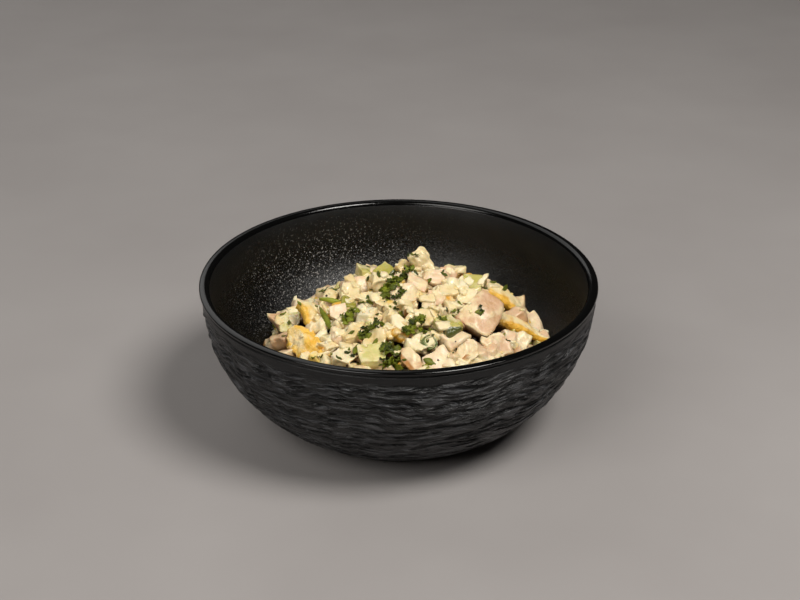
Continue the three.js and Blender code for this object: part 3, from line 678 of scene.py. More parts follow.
def food_material(name, tones, roughness, scatter, coat, special=None, grain=900, relief=0.35, wet=0.45):
    """Moist food: tones by piece and by noise, a thin uneven coat of cream, a colour by mark, and painted
    shade where the surface lies deep between its neighbours.
    coat: share of the surface under cream. special: that colour, and the marks where it starts and
    is full. grain, relief: how fine and how deep its grain is. wet: how much it shines."""
    material, tree, shader = new_material(name)
    clouds = noise_node(tree, 260, 5)
    blended = add_values(tree, clouds, attribute(tree, "tone"))
    stops = [(index / (len(tones) - 1), tone) for index, tone in enumerate(tones)]
    colour = ramp(tree, spread(tree, blended, 0.45, 1.55), stops)
    smears = noise_node(tree, 420, 5, 0.6)
    streaks = spread(tree, smears, 0.3, 0.7, -0.35, 0.35)
    level = 0.75 - 1.5 * coat
    cover = spread(tree, add_values(tree, attribute(tree, "coat"), streaks), level - 0.3, level + 0.4, 0, 0.8)
    colour = mix(tree, cover, colour, CREAM)
    if special:
        mark_colour, start, full = special
        colour = mix(tree, spread(tree, attribute(tree, "mark"), start, full, 0, 0.9), colour, mark_colour)
    # Painted shade: the deeper a point lies between its neighbours, the browner and then the darker it is
    colour = mix(tree, spread(tree, attribute(tree, "depth"), 0.5, 4.5, 0, 0.85), colour, GAP_SHADE)
    colour = mix(tree, spread(tree, attribute(tree, "depth"), 3.0, 6.5, 0, 0.9), colour, DEEP_SHADE)
    tree.links.new(colour, shader.inputs["Base Color"])
    set_inputs(shader, scatter=scatter, scatter_radius=(0.0022, 0.0012, 0.0006), scatter_scale=0.5)
    uneven = spread(tree, clouds, 0.3, 0.7, roughness - 0.12, roughness + 0.12)
    tree.links.new(uneven, shader.inputs["Roughness"])
    set_inputs(shader, coat=wet, coat_roughness=0.14)
    fine = spread(tree, noise_node(tree, grain, 4), 0, 1, 0, relief)
    height = add_values(tree, fine, spread(tree, smears, 0.25, 0.75, 0, 0.8))
    bump(tree, shader, height, 0.7, 0.0005)
    return material


def herb_material(name, dark, light):
    material, tree, shader = new_material(name)
    veins = noise_node(tree, 500, 4)
    blended = add_values(tree, veins, attribute(tree, "tone"))
    colour = ramp(tree, spread(tree, blended, 0.5, 1.5), [(0, dark), (1, light)])
    tree.links.new(colour, shader.inputs["Base Color"])
    tree.links.new(spread(tree, veins, 0.3, 0.7, 0.35, 0.55), shader.inputs["Roughness"])
    set_inputs(shader, specular=0.25, scatter=0.15, scatter_radius=(0.001, 0.002, 0.0005))
    bump(tree, shader, veins, 0.4, 0.0003)
    return material


def dressing_material():
    """Thin cream, with painted shade: brown, then near black, where it lies deep between the pieces."""
    material, tree, shader = new_material("cream_dressing")
    clouds = noise_node(tree, 150, 6, 0.6)
    stops = [(0.3, (0.70, 0.50, 0.19)), (0.5, (0.87, 0.71, 0.38)), (0.68, (0.93, 0.83, 0.58))]
    colour = ramp(tree, clouds, stops)
    depth = attribute(tree, "depth")
    # Painted shade: brown, then near black, the deeper the dressing lies between the pieces
    colour = mix(tree, spread(tree, depth, 0.2, 2.6), colour, (0.30, 0.17, 0.025))
    colour = mix(tree, spread(tree, depth, 1.6, 4.0), colour, (0.035, 0.012, 0.004))
    tree.links.new(colour, shader.inputs["Base Color"])
    tree.links.new(spread(tree, clouds, 0.3, 0.7, 0.16, 0.36), shader.inputs["Roughness"])
    set_inputs(shader, scatter=0.15, scatter_radius=(0.002, 0.0012, 0.0006), scatter_scale=0.5)
    bump(tree, shader, noise_node(tree, 700, 5), 0.3, 0.0004)
    return material


def stoneware_material():
    """Near-black clay with a satin skin. The grit is coarse inside the bowl, where the mark is 1."""
    material, tree, shader = new_material("black_stoneware")
    clouds = noise_node(tree, 90, 6)
    colour = ramp(tree, clouds, [(0.3, (0.0035, 0.0037, 0.004)), (0.7, (0.008, 0.0083, 0.009))])
    # Painted shade: the inside of the bowl and the lip are darkened almost to black
    inside = spread(tree, attribute(tree, "mark"), 0, 1)
    on_lip = spread(tree, attribute(tree, "mark"), -1, 0, 1, 0)
    dark = spread(tree, add_values(tree, inside, on_lip), 0, 1, 0, 0.85)
    # Painted highlight: the raised parts of the carving are lighter grey, so the grooves show as light bands
    # on dark
    grooves = add_values(tree, groove_noise(tree), attribute(tree, "carved"), "MULTIPLY")
    ridge_highlight = spread(tree, grooves, 1.8, 4.0, 0, 0.85)
    colour = mix(tree, ridge_highlight, colour, (0.075, 0.078, 0.085))
    colour = mix(tree, dark, colour, (0.001, 0.001, 0.001))
    # Painted glints: pale points mixed into the colour of the inner wall, only round one azimuth at the back
    # left
    painted_glints = spread(tree, noise_node(tree, 1200, 2), 0.61, 0.67)
    painted_glints = add_values(tree, painted_glints, attribute(tree, "painted_glints"), "MULTIPLY")
    colour = mix(tree, painted_glints, colour, (0.30, 0.29, 0.27))
    tree.links.new(colour, shader.inputs["Base Color"])
    coarse = spread(tree, noise_node(tree, 1000, 2), 0.5, 0.64, 0, 0.22)
    coarse = add_values(tree, coarse, inside, "MULTIPLY")
    grain = spread(tree, noise_node(tree, 2400, 3), 0.3, 0.7)
    fine = add_values(tree, grain, spread(tree, on_lip, 0, 1, 0.15, 0.03), "MULTIPLY")
    gloss = add_values(tree, spread(tree, on_lip, 0, 1, 0, 0.30), spread(tree, inside, 0, 1, 0, 0.18))
    roughness = add_values(tree, spread(tree, grain, 0, 1, 0.36, 0.48), gloss, "SUBTRACT")
    tree.links.new(roughness, shader.inputs["Roughness"])
    set_inputs(shader, specular=0.42)
    bump(tree, shader, add_values(tree, add_values(tree, coarse, fine), grooves), 1.0, 0.0004)
    return material


def groove_noise(tree):
    """Fine level grooves, about a millimetre apart, that sway a little."""
    coordinates = node(tree, "ShaderNodeTexCoord").outputs["Object"]
    sway = node(tree, "ShaderNodeTexNoise", Scale=35.0, Detail=2.0)
    tree.links.new(coordinates, sway.inputs["Vector"])
    shift = node(tree, "ShaderNodeVectorMath", operation="SCALE", Scale=0.012)
    tree.links.new(sway.outputs["Color"], shift.inputs[0])
    moved = node(tree, "ShaderNodeVectorMath", operation="ADD")
    tree.links.new(coordinates, moved.inputs[0])
    tree.links.new(shift.outputs[0], moved.inputs[1])
    stretched = node(tree, "ShaderNodeMapping", Scale=(120.0, 120.0, 720.0))
    tree.links.new(moved.outputs[0], stretched.inputs["Vector"])
    noise = node(tree, "ShaderNodeTexNoise", Scale=1.0, Detail=3.0, Roughness=0.5)
    tree.links.new(stretched.outputs["Vector"], noise.inputs["Vector"])
    return spread(tree, noise.outputs["Fac"], 0.36, 0.64, 0, 4.0)


def pepper_material():
    material, tree, shader = new_material("pepper_grain")
    colour = ramp(tree, noise_node(tree, 1200, 3), [(0.3, (0.012, 0.009, 0.006)), (0.7, (0.06, 0.04, 0.025))])
    tree.links.new(colour, shader.inputs["Base Color"])
    set_inputs(shader, roughness=0.6)
    return material


def salad_materials():
    return dict(
        chicken=food_material(
            "chicken_meat", [(0.58, 0.33, 0.16), (0.80, 0.56, 0.35), (0.88, 0.71, 0.48)],
            roughness=0.42, scatter=0.2, coat=0.42, special=((0.42, 0.17, 0.03), 0.70, 0.98), wet=0.22),
        pancake=food_material(
            "pancake_batter", [(0.62, 0.27, 0.012), (0.84, 0.48, 0.05), (0.91, 0.66, 0.18)],
            roughness=0.5, scatter=0.15, coat=0.12, special=((0.92, 0.78, 0.46), 0.5, 1.1),
            grain=800, relief=2.2, wet=0.08),
        cucumber=food_material(
            "cucumber_flesh", [(0.28, 0.26, 0.03), (0.52, 0.46, 0.11), (0.72, 0.65, 0.27)],
            roughness=0.16, scatter=0.3, coat=0.42, special=((0.035, 0.055, 0.004), 0.86, 0.93)),
        egg=food_material(
            "egg_white", [(0.72, 0.50, 0.17), (0.86, 0.71, 0.40), (0.94, 0.86, 0.62)],
            roughness=0.32, scatter=0.2, coat=0.4),
        onion=food_material(
            "spring_onion", [(0.50, 0.52, 0.20), (0.80, 0.78, 0.50)],
            roughness=0.25, scatter=0.3, coat=0.1, special=((0.09, 0.14, 0.02), 0.3, 0.8)),
        leaf=herb_material("green_leaf", (0.05, 0.065, 0.004), (0.30, 0.33, 0.03)),
        parsley=herb_material("parsley_leaf", (0.02, 0.03, 0.0015), (0.20, 0.23, 0.015)),
        dill=herb_material("dill_frond", (0.03, 0.045, 0.003), (0.15, 0.18, 0.015)),
        crumb=food_material(
            "egg_crumb", [(0.78, 0.56, 0.18), (0.94, 0.85, 0.58)], roughness=0.4, scatter=0.2, coat=0.35),
        scrap=food_material(
            "egg_scrap", [(0.74, 0.50, 0.16), (0.86, 0.70, 0.38), (0.93, 0.84, 0.58)],
            roughness=0.34, scatter=0.2, coat=0.5),
        flake=herb_material("chopped_herb", (0.022, 0.033, 0.002), (0.17, 0.19, 0.012)),
        pepper=pepper_material(),
    )


# Bowl


def carving(angle, height):
    """Depth of the carved outside: long shallow gouges that run round the bowl in waves, layer on layer."""
    around = ring_around(angle, RIM_RADIUS)
    sway = smooth_noise(around, 24.0, NOISE["sway"]) * 3.0 + smooth_noise(around, 9.0, NOISE["fine_sway"])
    level = height + sway + smooth_noise(lifted(around, height), 9.0, NOISE["level"])
    along = lifted(around, level)
    layers = smooth_noise(along, (8.0, 8.0, 1.0), NOISE["layers"])
    broad = smooth_noise(along, (16.0, 16.0, 2.2), NOISE["broad"])
    gouges = np.clip((layers + 0.4 * broad - 0.02) * 3.2, 0, 1)
    swells = 0.5 * broad + 0.25 * np.clip(-layers, 0, 1)
    return (swells - gouges) * CARVING_DEPTH * carving_fade(height, sway * 0.6)


def carving_fade(height, sway=0):
    """1 where the carving is whole, and 0 by the lip and the foot."""
    top = np.clip((CARVED_TOP - height + sway) / CARVING_FADE, 0, 1)
    return top * np.clip((height - CARVED_BOTTOM) / CARVING_FADE, 0, 1)


def outer_angle(height):
    return math.asin(((WALL_TOP - height) / OUTER_DEPTH) ** (OUTER_POWER / 2))


def bowl_profile():
    """(radius, height, share of carving, mark) from under the foot to the inner floor.
    The mark is -1 on the glossy lip and 1 on the coarse grit inside."""
    wall_head = BOWL_HEIGHT - LIP_DROP - CREASE_HEIGHT
    profile = [(20, UNDERSIDE_HEIGHT, 0, 0), (FOOT_INNER_RADIUS - 1.2, UNDERSIDE_HEIGHT, 0, 0),
               (FOOT_INNER_RADIUS - 0.5, UNDERSIDE_HEIGHT * 0.8, 0, 0), (FOOT_INNER_RADIUS, 0.3, 0, 0),
               (FOOT_INNER_RADIUS + 0.4, 0, 0, 0), (FOOT_OUTER_RADIUS - 1, 0, 0, 0),
               (FOOT_OUTER_RADIUS - 0.4, 0.25, 0, 0), (FOOT_OUTER_RADIUS, 1.0, 0, 0),
               (FOOT_OUTER_RADIUS + 0.5, 2.2, 0, 0)]
    start, stop = outer_angle(FOOT_HEIGHT), outer_angle(wall_head)
    for step in range(CARVED_ROWS + 1):
        angle = start + (stop - start) * step / CARVED_ROWS
        depth = math.sin(angle) ** (2 / OUTER_POWER)
        profile.append((OUTER_RADIUS * math.cos(angle), WALL_TOP - OUTER_DEPTH * depth, 1, 0))
    crease = RIM_RADIUS - CREASE_DEPTH
    profile.append((crease + 0.1, wall_head + 0.1, 0, 0))
    profile.append((crease, wall_head + 0.3, 0, 0))
    profile.append((crease, wall_head + CREASE_HEIGHT, 0, 0))
    middle = RIM_RADIUS - LIP_WIDTH / 2
    for step in range(LIP_ARC_STEPS + 1):
        angle = math.radians(LIP_ARC_START + LIP_ARC_SWEEP * step / LIP_ARC_STEPS)
        is_outer = math.cos(angle) > 0
        rise, squareness = (LIP_DROP / 2, LIP_OUTER_SQUARENESS) if is_outer else (LIP_DROP, 1)
        across = math.copysign(abs(math.cos(angle)) ** squareness, math.cos(angle))
        up = math.copysign(abs(math.sin(angle)) ** squareness, math.sin(angle))
        profile.append((middle + LIP_WIDTH / 2 * across, BOWL_HEIGHT - rise + rise * up, 0, -1))
    for step in range(INNER_STEPS):
        angle = math.pi / 2 * step / INNER_STEPS
        depth = math.sin(angle) ** (2 / INNER_POWER)
        height = WALL_TOP - (WALL_TOP - FLOOR_HEIGHT) * depth
        profile.append((INNER_RADIUS * math.cos(angle), height, 0, min(1, step / 3)))
    return profile


def make_bowl():
    profile = bowl_profile()
    radius, height, carved, grit = (np.array(column, float) for column in zip(*profile))
    angle = 2 * math.pi * np.arange(BOWL_SECTORS) / BOWL_SECTORS
    grid_angle, grid_height = np.meshgrid(angle, height)
    grid_radius = radius[:, None] + carving(grid_angle, grid_height) * carved[:, None]
    points = lifted(ring_around(grid_angle, grid_radius), grid_height)
    faces = ring_faces(len(profile), BOWL_SECTORS)
    under = len(profile) * BOWL_SECTORS
    floor = under + 1
    points = np.vstack([points.reshape(-1, 3), [0, 0, UNDERSIDE_HEIGHT], [0, 0, FLOOR_HEIGHT]])
    last = (len(profile) - 1) * BOWL_SECTORS
    for sector in range(BOWL_SECTORS):
        beside = (sector + 1) % BOWL_SECTORS
        faces.append([under, beside, sector])
        faces.append([floor, last + sector, last + beside])
    bowl = make_piece("bowl_carved", points, faces, stoneware_material(), "stoneware")
    set_attribute(bowl, "mark", np.append(np.repeat(grit, BOWL_SECTORS), [0, 1]))
    shown = carved * carving_fade(height)
    set_attribute(bowl, "carved", np.append(np.repeat(shown, BOWL_SECTORS), [0, 0]))
    # Where the painted glints go: inside the bowl, round one azimuth at the back left
    apart = (grid_angle - math.radians(GLINTS_AZIMUTH) + math.pi) % (2 * math.pi) - math.pi
    painted_glints = np.exp(-((apart / math.radians(GLINTS_SPREAD)) ** 2)) * np.clip(grit, 0, 1)[:, None]
    set_attribute(bowl, "painted_glints", np.append(painted_glints.ravel(), [0, 0]))
    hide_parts("bowl")


# Salad: cut pieces


def add_cut(batch, piece, shapes, looks, steps):
    """A cut piece of food, a slab by its outline or else a box."""
    kind = piece["kind"]
    if "outline" in piece:
        planes, size = slab_planes(piece), slab_size(piece)
    else:
        size = piece["size"]
        planes = box_planes(size, shapes, CORNER_CUTS[kind])
    points, faces, directions = convex(planes, size, steps, EDGE_SHARPNESS[kind])
    half = np.array(size) / 2
    marks = cut_marks(piece, points, half, looks)
    seed = int(looks() * 1e6)
    lumpy = piece.get("lumpy", LUMPINESS[kind])
    offset = smooth_noise(points + seed % 97, 3.5, seed) * lumpy
    fibres = (5.0, 1.1, 1.1) if kind == "chicken" else 1.3
    offset += smooth_noise(points, fibres, seed + 1) * lumpy * 0.6
    points = points + directions * offset[:, None]
    reach = WARP[kind] * (SLAB_WARP if "outline" in piece else 1)
    bent = np.stack([smooth_noise(points + 31 * axis, 5.0, seed + 2 + axis) for axis in range(3)], axis=1)
    points = points + bent * reach
    batch.add(place_piece(points, piece), faces, looks(), marks, piece.get("cream", 0))


def cut_marks(piece, points, half, looks):
    """Where smoked skin, green skin or the pale face of the pancake is."""
    kind = piece["kind"]
    azimuth = math.radians(piece.get("browned", 360 * looks()))
    if kind == "chicken":
        side = np.array([math.cos(azimuth), math.sin(azimuth), 0])
        strength = BROWNED_STRENGTH
        if "browned" not in piece:
            strength = float(looks() < SKINNED_SHARE and "outline" not in piece)
        return points @ side / (half @ np.abs(side)) * strength
    if kind == "cucumber" and "outline" in piece:
        return -points[:, 0] / half[0]
    if kind == "cucumber":
        return -points[:, 1] / half[1] * piece.get("skin", False)
    if kind == "pancake":
        fine = smooth_noise(points, 1.2, NOISE["fine_batter"])
        return 0.5 + 0.7 * smooth_noise(points, 3.0, NOISE["batter"]) + 0.5 * fine
    return np.zeros(len(points))


def add_strip(batch, piece, looks):
    """A strip of pancake with a pale upper face, golden cut sides and ruffled edges."""
    length, width, thick = piece["size"]
    tip = piece["tip"]
    seed = int(looks() * 1e6)
    steps = (44, 12)

    def narrowing(along):
        return 1 - (1 - tip) * along**1.5

    def bend(along, across):
        return strip_bend(along) * width + 0.3 * np.sin(along * 26) * np.abs(across) ** 3

    def half_thickness(along, across):
        return thick / 2 * narrowing(along) * (1 - 0.3 * np.abs(across) ** 6)

    points, faces = sheet(length, width, narrowing, bend, half_thickness, steps)
    is_top = np.arange(len(points)) < len(points) // 2
    across = np.tile(np.linspace(-1, 1, steps[1] + 1), 2 * (steps[0] + 1))
    marks = np.where(is_top, 1.05 - 1.1 * np.clip(-across, 0, 1) ** 2, 0.0)
    marks += 0.4 * smooth_noise(points, 2.2, seed)
    ruffle = smooth_noise(points, 2.4, seed + 1) * 0.45 + smooth_noise(points, 1.2, seed + 2) * 0.25
    outward = np.stack([0 * across, np.sign(across) * np.abs(across) ** 2, 0.7 + 0 * across], axis=1)
    points = points + ruffle[:, None] * outward
    batch.add(place_piece(points, piece), faces, looks(), marks)


def strip_bend(along):
    """Height of a strip's middle line, as a share of its width."""
    return 0.12 * np.sin(along * math.pi * 1.7)


def loose_turns(tilt, random):
    """Pitch and roll of a piece that lies as it fell, within a range of tilt in degrees."""
    return dict(pitch=tilt * (random() - 0.5), roll=tilt * (random() - 0.5))


def sunflower(count, reach, start, jitter, random):
    """Places spread evenly over the heap in a spiral, each moved a little at random."""
    for index in range(count):
        away = reach * math.sqrt((index + 0.5) / count)
        angle = index * GOLDEN_ANGLE + start
        x = HEAP_CENTRE[0] + away * math.cos(angle) + jitter * (2 * random() - 1)
        y = HEAP_CENTRE[1] + away * math.sin(angle) + jitter * (2 * random() - 1)
        yield x, y


def small_pieces(random):
    """The solids' small pieces."""
    for x, y in sunflower(SMALL_COUNT, SMALL_REACH, 0, SMALL_JITTER, random):
        kind = small_kind(random())
        size = 6.2 + 2.6 * random()
        flat = 0.65 + 0.35 * random()
        piece = dict(kind=kind, x=x, y=y, lift=0.2 + 1.6 * random(), turn=90 * random())
        piece.update(loose_turns(50, random))
        piece["size"] = (size * (1.4 if kind == "chicken" else 1), size * 0.9, size * flat)
        if is_free(x, y, size):
            yield piece


def small_kind(draw):
    """The kind of a small piece, from a number from 0 to 1."""
    return next(kind for kind, limit in KIND_LIMITS.items() if draw < limit)


def fill_pieces(random):
    """Finer pieces that close the gaps between the others."""
    for x, y in sunflower(FILL_COUNT, SMALL_REACH + 2, 1.3, 2, random):
        kind = small_kind(random())
        size = 3.0 + 3.0 * random()
        flat = 0.5 + 0.5 * random()
        piece = dict(kind=kind, x=x, y=y, lift=-1.8 + 2.4 * random(), turn=90 * random())
        piece.update(loose_turns(70, random), skin=random() < 0.3)
        piece["size"] = (size * 1.4, size * 0.85, size * flat)
        in_gap = any(math.hypot(x - gap_x, y - gap_y) < radius + 1 for gap_x, gap_y, radius in GAPS)
        if is_free(x, y, size, 0.72) and not in_gap:
            yield piece


def torn_pieces(random):
    """A die with dark green skin, then torn pieces sunk between the large ones."""
    yield large("cucumber", (22.5, -25), (18, 0, 12), lift=4.5, size=(6.2, 5.5, 5.5), skin=2)
    for kind, zone_x, zone_y, reach, usual_size, count in TORN_ZONES:
        for _ in range(count):
            x = zone_x + reach * (2 * random() - 1)
            y = zone_y + reach * (2 * random() - 1)
            size = usual_size * (0.7 + 0.6 * random())
            piece = dict(kind=kind, x=x, y=y, lift=-1.8 + 1.6 * random(), turn=360 * random())
            piece.update(loose_turns(50, random), lumpy=1.2, cream=0.35 * random())
            piece["size"] = (size * 1.3, size * 0.8, size * 0.7)
            if math.hypot(x, y) + size / 2 < inner_radius(heap_height(x, y)) - WALL_CLEARANCE:
                yield piece


def is_free(x, y, size, share=1.0):
    meets_wall = math.hypot(x, y) + size / 2 > inner_radius(heap_height(x, y)) - WALL_CLEARANCE
    near = any(math.hypot(x - p["x"], y - p["y"]) < p["clear"] * share for p in LARGE_PIECES)
    return not (meets_wall or near)


# Salad: dressing


def core_mesh():
    """The bare heap, closed, down to the bowl's inner wall."""
    angle = 2 * math.pi * np.arange(CORE_SECTORS) / CORE_SECTORS
    edge = np.full(CORE_SECTORS, 66.0)
    for _ in range(30):
        edge_height = heap_height(edge * np.cos(angle), edge * np.sin(angle)) - CORE_DROP / 2
        edge = (edge + inner_radius(edge_height) - 0.1) / 2
    top = [0, 0, heap_height(0, 0) - CORE_DROP]
    layers = [np.tile(top, (CORE_SECTORS, 1)) + 0.01 * ring_around(angle, 1)]
    for share in np.arange(1, CORE_RINGS + 1) / CORE_RINGS:
        flat = ring_around(angle, share * edge)
        x, y = flat[:, 0], flat[:, 1]
        drop = CORE_DROP if share < 1 else CORE_DROP / 2
        z = heap_height(x, y) - drop + smooth_noise(flat, 7.0, NOISE["core"]) * 1.6
        z = z + smooth_noise(flat, 3.0, NOISE["fine_core"]) * 0.7
        for gap_x, gap_y, radius in GAPS:
            distance = np.hypot(x - gap_x, y - gap_y)
            z = z - GAP_DROP * np.exp(-(distance**2) / radius**2)
        layers.append(np.stack([x, y, z], axis=-1))
    base = FLOOR_HEIGHT + 0.2
    for share in np.arange(1, CORE_WALL_RINGS) / CORE_WALL_RINGS:
        height = edge_height + (base - edge_height) * share
        layers.append(lifted(ring_around(angle, inner_radius(height) - 0.15), height))
    return loft([layer[::-1] for layer in layers])


def dressing_mesh(batches):
    """One closed skin over the core and the pieces, smoothed, with fewer faces where it is flat."""
    whole = Batch("dressing_source")
    whole.add(*core_mesh())
    for batch in batches:
        whole.absorb(batch)
    source = make_piece(whole.name, np.concatenate(whole.points), whole.faces, dressing_material(), None)
    remesh = source.modifiers.new("skin", "REMESH")
    remesh.mode = "VOXEL"
    remesh.voxel_size = DRESSING_VOXEL * MM
    relax = source.modifiers.new("relax", "SMOOTH")
    relax.factor = 0.5
    relax.iterations = 2
    thin = source.modifiers.new("thin", "DECIMATE")
    thin.ratio = DRESSING_SHARE
    mesh = bpy.data.meshes.new_from_object(source.evaluated_get(bpy.context.evaluated_depsgraph_get()))
    bpy.data.objects.remove(source)
    return mesh


def dressing_swell(places):
    """How far the skin lies over the pieces. It lies in patches, and under the large clean faces."""
    swell = -1.0 + 0.85 * smooth_noise(places, 6.5, NOISE["swell"])
    swell = swell + 0.4 * smooth_noise(places, 2.4, NOISE["fine_swell"])
    for piece in LARGE_PIECES:
        if piece["clear"] >= BARE_FROM:
            distance = np.hypot(places[:, 0] - piece["x"], places[:, 1] - piece["y"])
            swell -= 0.7 * np.exp(-((distance / piece["clear"]) ** 4))
    at_wall = np.hypot(places[:, 0], places[:, 1]) > inner_radius(places[:, 2]) - 1.2
    return np.where(at_wall, 0, swell)


def make_dressing(batches):
    """A soft skin over the core and the pieces, which fills the creases and lies in patches on the faces."""
    mesh = dressing_mesh(batches)
    places = vertex_vectors(mesh, "co") / MM
    places = places + vertex_vectors(mesh, "normal") * dressing_swell(places)[:, None]
    mesh.vertices.foreach_set("co", (places * MM).astype(np.float32).ravel())
    mesh.polygons.foreach_set("use_smooth", [True] * len(mesh.polygons))
    piece = bpy.data.objects.new("dressing_cream", mesh)
    mesh.name = piece.name
    bpy.context.scene.collection.objects.link(piece)
    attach(piece, "root")
    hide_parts("salad")
    relief = Relief(np.concatenate([places, *(np.concatenate(batch.points) for batch in batches)]))
    set_attribute(piece, "depth", relief.depth(places))
    return piece, relief


def vertex_vectors(mesh, name):
    values = np.empty(len(mesh.vertices) * 3, np.float32)
    mesh.vertices.foreach_get(name, values)
    return values.reshape(-1, 3).astype(float)


# Salad: herbs, crumbs and pepper, laid on the surface


class Surface:
    """The salad's top, to lay fine things on."""

    def __init__(self, pieces):
        self.trees = [BVHTree.FromObject(piece, bpy.context.evaluated_depsgraph_get()) for piece in pieces]

    def lay(self, points, x, y, lift, turn, lean=0.8):
        """Turns a form about Z, tilts it as the surface under it and moves it there."""
        down = Vector((0, 0, -1))
        above = Vector((x * MM, y * MM, RAY_HEIGHT * MM))
        hits = [tree.ray_cast(above, down) for tree in self.trees]
        hits = [hit for hit in hits if hit[0] is not None]
        if not hits:
            return None
        place, normal = max(hits, key=lambda hit: hit[0].z)[:2]
        normal = (normal * lean + Vector((0, 0, 1 - lean))).normalized()
        turned = Vector((0, 0, 1)).rotation_difference(normal).to_matrix() @ Matrix.Rotation(turn, 3, "Z")
        return np.asarray(points) @ np.array(turned).T + np.array(place) / MM + np.array(normal) * lift


def add_onion(batch, piece, looks):
    """Two rings, one in the other."""
    outer, height = piece["size"][0] / 2, piece["size"][2]
    sectors, around = 28, 10
    for radius, thickness in ((outer - 0.3, 0.55), (outer - 1.15, 0.45)):
        points, faces = [], []
        for sector in range(sectors):
            angle = 2 * math.pi * sector / sectors
            squash = 1 + 0.12 * math.cos(2 * angle + 1)
            for step in range(around):
                turn = 2 * math.pi * step / around
                across = math.copysign(abs(math.cos(turn)) ** 0.5, math.cos(turn)) * thickness / 2
                up = math.copysign(abs(math.sin(turn)) ** 0.4, math.sin(turn)) * height / 2
                reach = (radius + across) * squash
                points.append((reach * math.cos(angle), reach * math.sin(angle) / squash**2, up))
                here, ahead = sector * around, (sector + 1) % sectors * around
                beside = (step + 1) % around
                faces.append([here + step, ahead + step, ahead + beside, here + beside])
        points = np.array(points)
        marks = np.clip((np.hypot(points[:, 0], points[:, 1]) - (outer - 1.0)) / 0.8, 0, 1)
        batch.add(place_piece(points, piece), faces, looks(), marks)


def leaf_form(length, width, thickness, curl, steps):
    """A pointed leaf, folded along its middle."""

    def outline(along):
        return 0.05 + 0.95 * np.sin(np.pi * (0.03 + 0.94 * along)) ** 0.8

    def bend(along, across):
        return width * curl * (0.8 * np.sin(along * math.pi * 1.7) - across**2 + (2 * along - 1) ** 2)

    return sheet(length, width, outline, bend, lambda along, across: thickness / 2 + 0 * along, steps)


def leaflet(length, looks):
    """A curly parsley leaflet with three toothed lobes, closed."""
    spokes, rings, half = 36, 4, 0.11
    curl = 0.2 + 0.3 * looks()
    phase = 2 * math.pi * looks()
    angle = 2 * math.pi * np.arange(spokes) / spokes
    lobes = 0.42 + 0.36 * np.abs(np.cos(1.5 * angle)) ** 0.7 + 0.22 * np.cos(angle)
    upper, lower = [np.array([0, 0, half])], [np.array([0, 0, -half])]
    for ring in range(1, rings + 1):
        share = ring / rings
        reach = length / 2 * lobes * share * (1 + 0.14 * np.cos(9 * angle + phase) * share)
        height = length * (curl * 0.35 * share**2 * np.sin(3 * angle + phase))
        height += length * 0.05 * share**2 * np.sin(9 * angle + phase)
        flat = np.stack([reach * np.cos(angle), reach * np.sin(angle), height], axis=-1)
        upper.extend(flat + [0, 0, half])
        lower.extend(flat - [0, 0, half])
    layer = len(upper)
    faces = []
    for spoke in range(spokes):
        beside = (spoke + 1) % spokes
        faces.append([0, 1 + spoke, 1 + beside])
        faces.append([layer, layer + 1 + beside, layer + 1 + spoke])
        for ring in range(rings - 1):
            near, far = 1 + ring * spokes, 1 + (ring + 1) * spokes
            cell = [near + spoke, far + spoke, far + beside, near + beside]
            faces.append(cell)
            faces.append([layer + corner for corner in (cell[0], cell[3], cell[2], cell[1])])
        edge = 1 + (rings - 1) * spokes
        faces.append([edge + spoke, layer + edge + spoke, layer + edge + beside, edge + beside])
    return np.array(upper + lower), faces


def add_parsley(batch, piece, surface, looks):
    """Curly leaflets along a line, some over others."""
    spread_length, size, _ = piece["size"]
    leaflets = int(spread_length * 1.2)
    heading = math.radians(piece["turn"])
    for index in range(leaflets):
        along = (index / (leaflets - 1) - 0.5) * spread_length
        sideways = (looks() - 0.5) * size * 0.45
        x = piece["x"] + along * math.cos(heading) - sideways * math.sin(heading)
        y = piece["y"] + along * math.sin(heading) + sideways * math.cos(heading)
        lay_leaflet(batch, surface, x, y, size * (0.65 + 0.35 * looks()), (0.6, 1.6), looks)


def lay_leaflet(batch, surface, x, y, size, lifts, random):
    """Lays a leaflet down, tilted at random. lifts: its lowest height, and how much that varies."""
    points, faces = leaflet(size, random)
    tilt = rotation(turn=0, **loose_turns(LEAF_TILT, random))
    laid = surface.lay(points @ tilt.T, x, y, lifts[0] + lifts[1] * random(), 2 * math.pi * random())
    if laid is not None:
        batch.add(laid, faces, random())


def add_dill(batch, piece, looks):
    """A feathery tuft: a stem with thin strands to both sides."""
    spread_length, length, _ = piece["size"]
    strands = 16
    steps = (0, 0.35, 0.7, 1)
    sag = np.array([0, 0, 1.0])
    for index in range(strands):
        share = index / strands
        side = -1 if index % 2 else 1
        start = np.array([spread_length * (share - 0.5), 0, 0.6 * math.sin(share * 3)])
        swing = np.array([0.6 + 0.3 * looks(), side * (0.5 + 0.5 * looks()), 0.7 * (looks() - 0.3)])
        reach = length * (0.35 + 0.35 * looks())
        route = [start + swing * reach * step - sag * (0.24 * step * step * reach) for step in steps]
        points, faces = tube(route, 0.2, 5)
        batch.add(place_piece(points, piece), faces, looks())
    stem = [(spread_length * (t - 0.55), 0, 0.6 * math.sin(t * 3)) for t in np.linspace(0, 1.1, 8)]
    points, faces = tube(stem, 0.3)
    batch.add(place_piece(points, piece), faces, 0.6)


def add_herb_spots(batch, surface, random):
    """Chopped parsley where the photo shows it."""
    for spot_x, spot_y, reach, bits, size in HERB_SPOTS:
        for _ in range(bits):
            away, angle = reach * math.sqrt(random()), 2 * math.pi * random()
            x, y = spot_x + away * math.cos(angle), spot_y + away * math.sin(angle)
            lay_leaflet(batch, surface, x, y, size * (0.5 + 0.5 * random()), (0.3, 0.9), random)


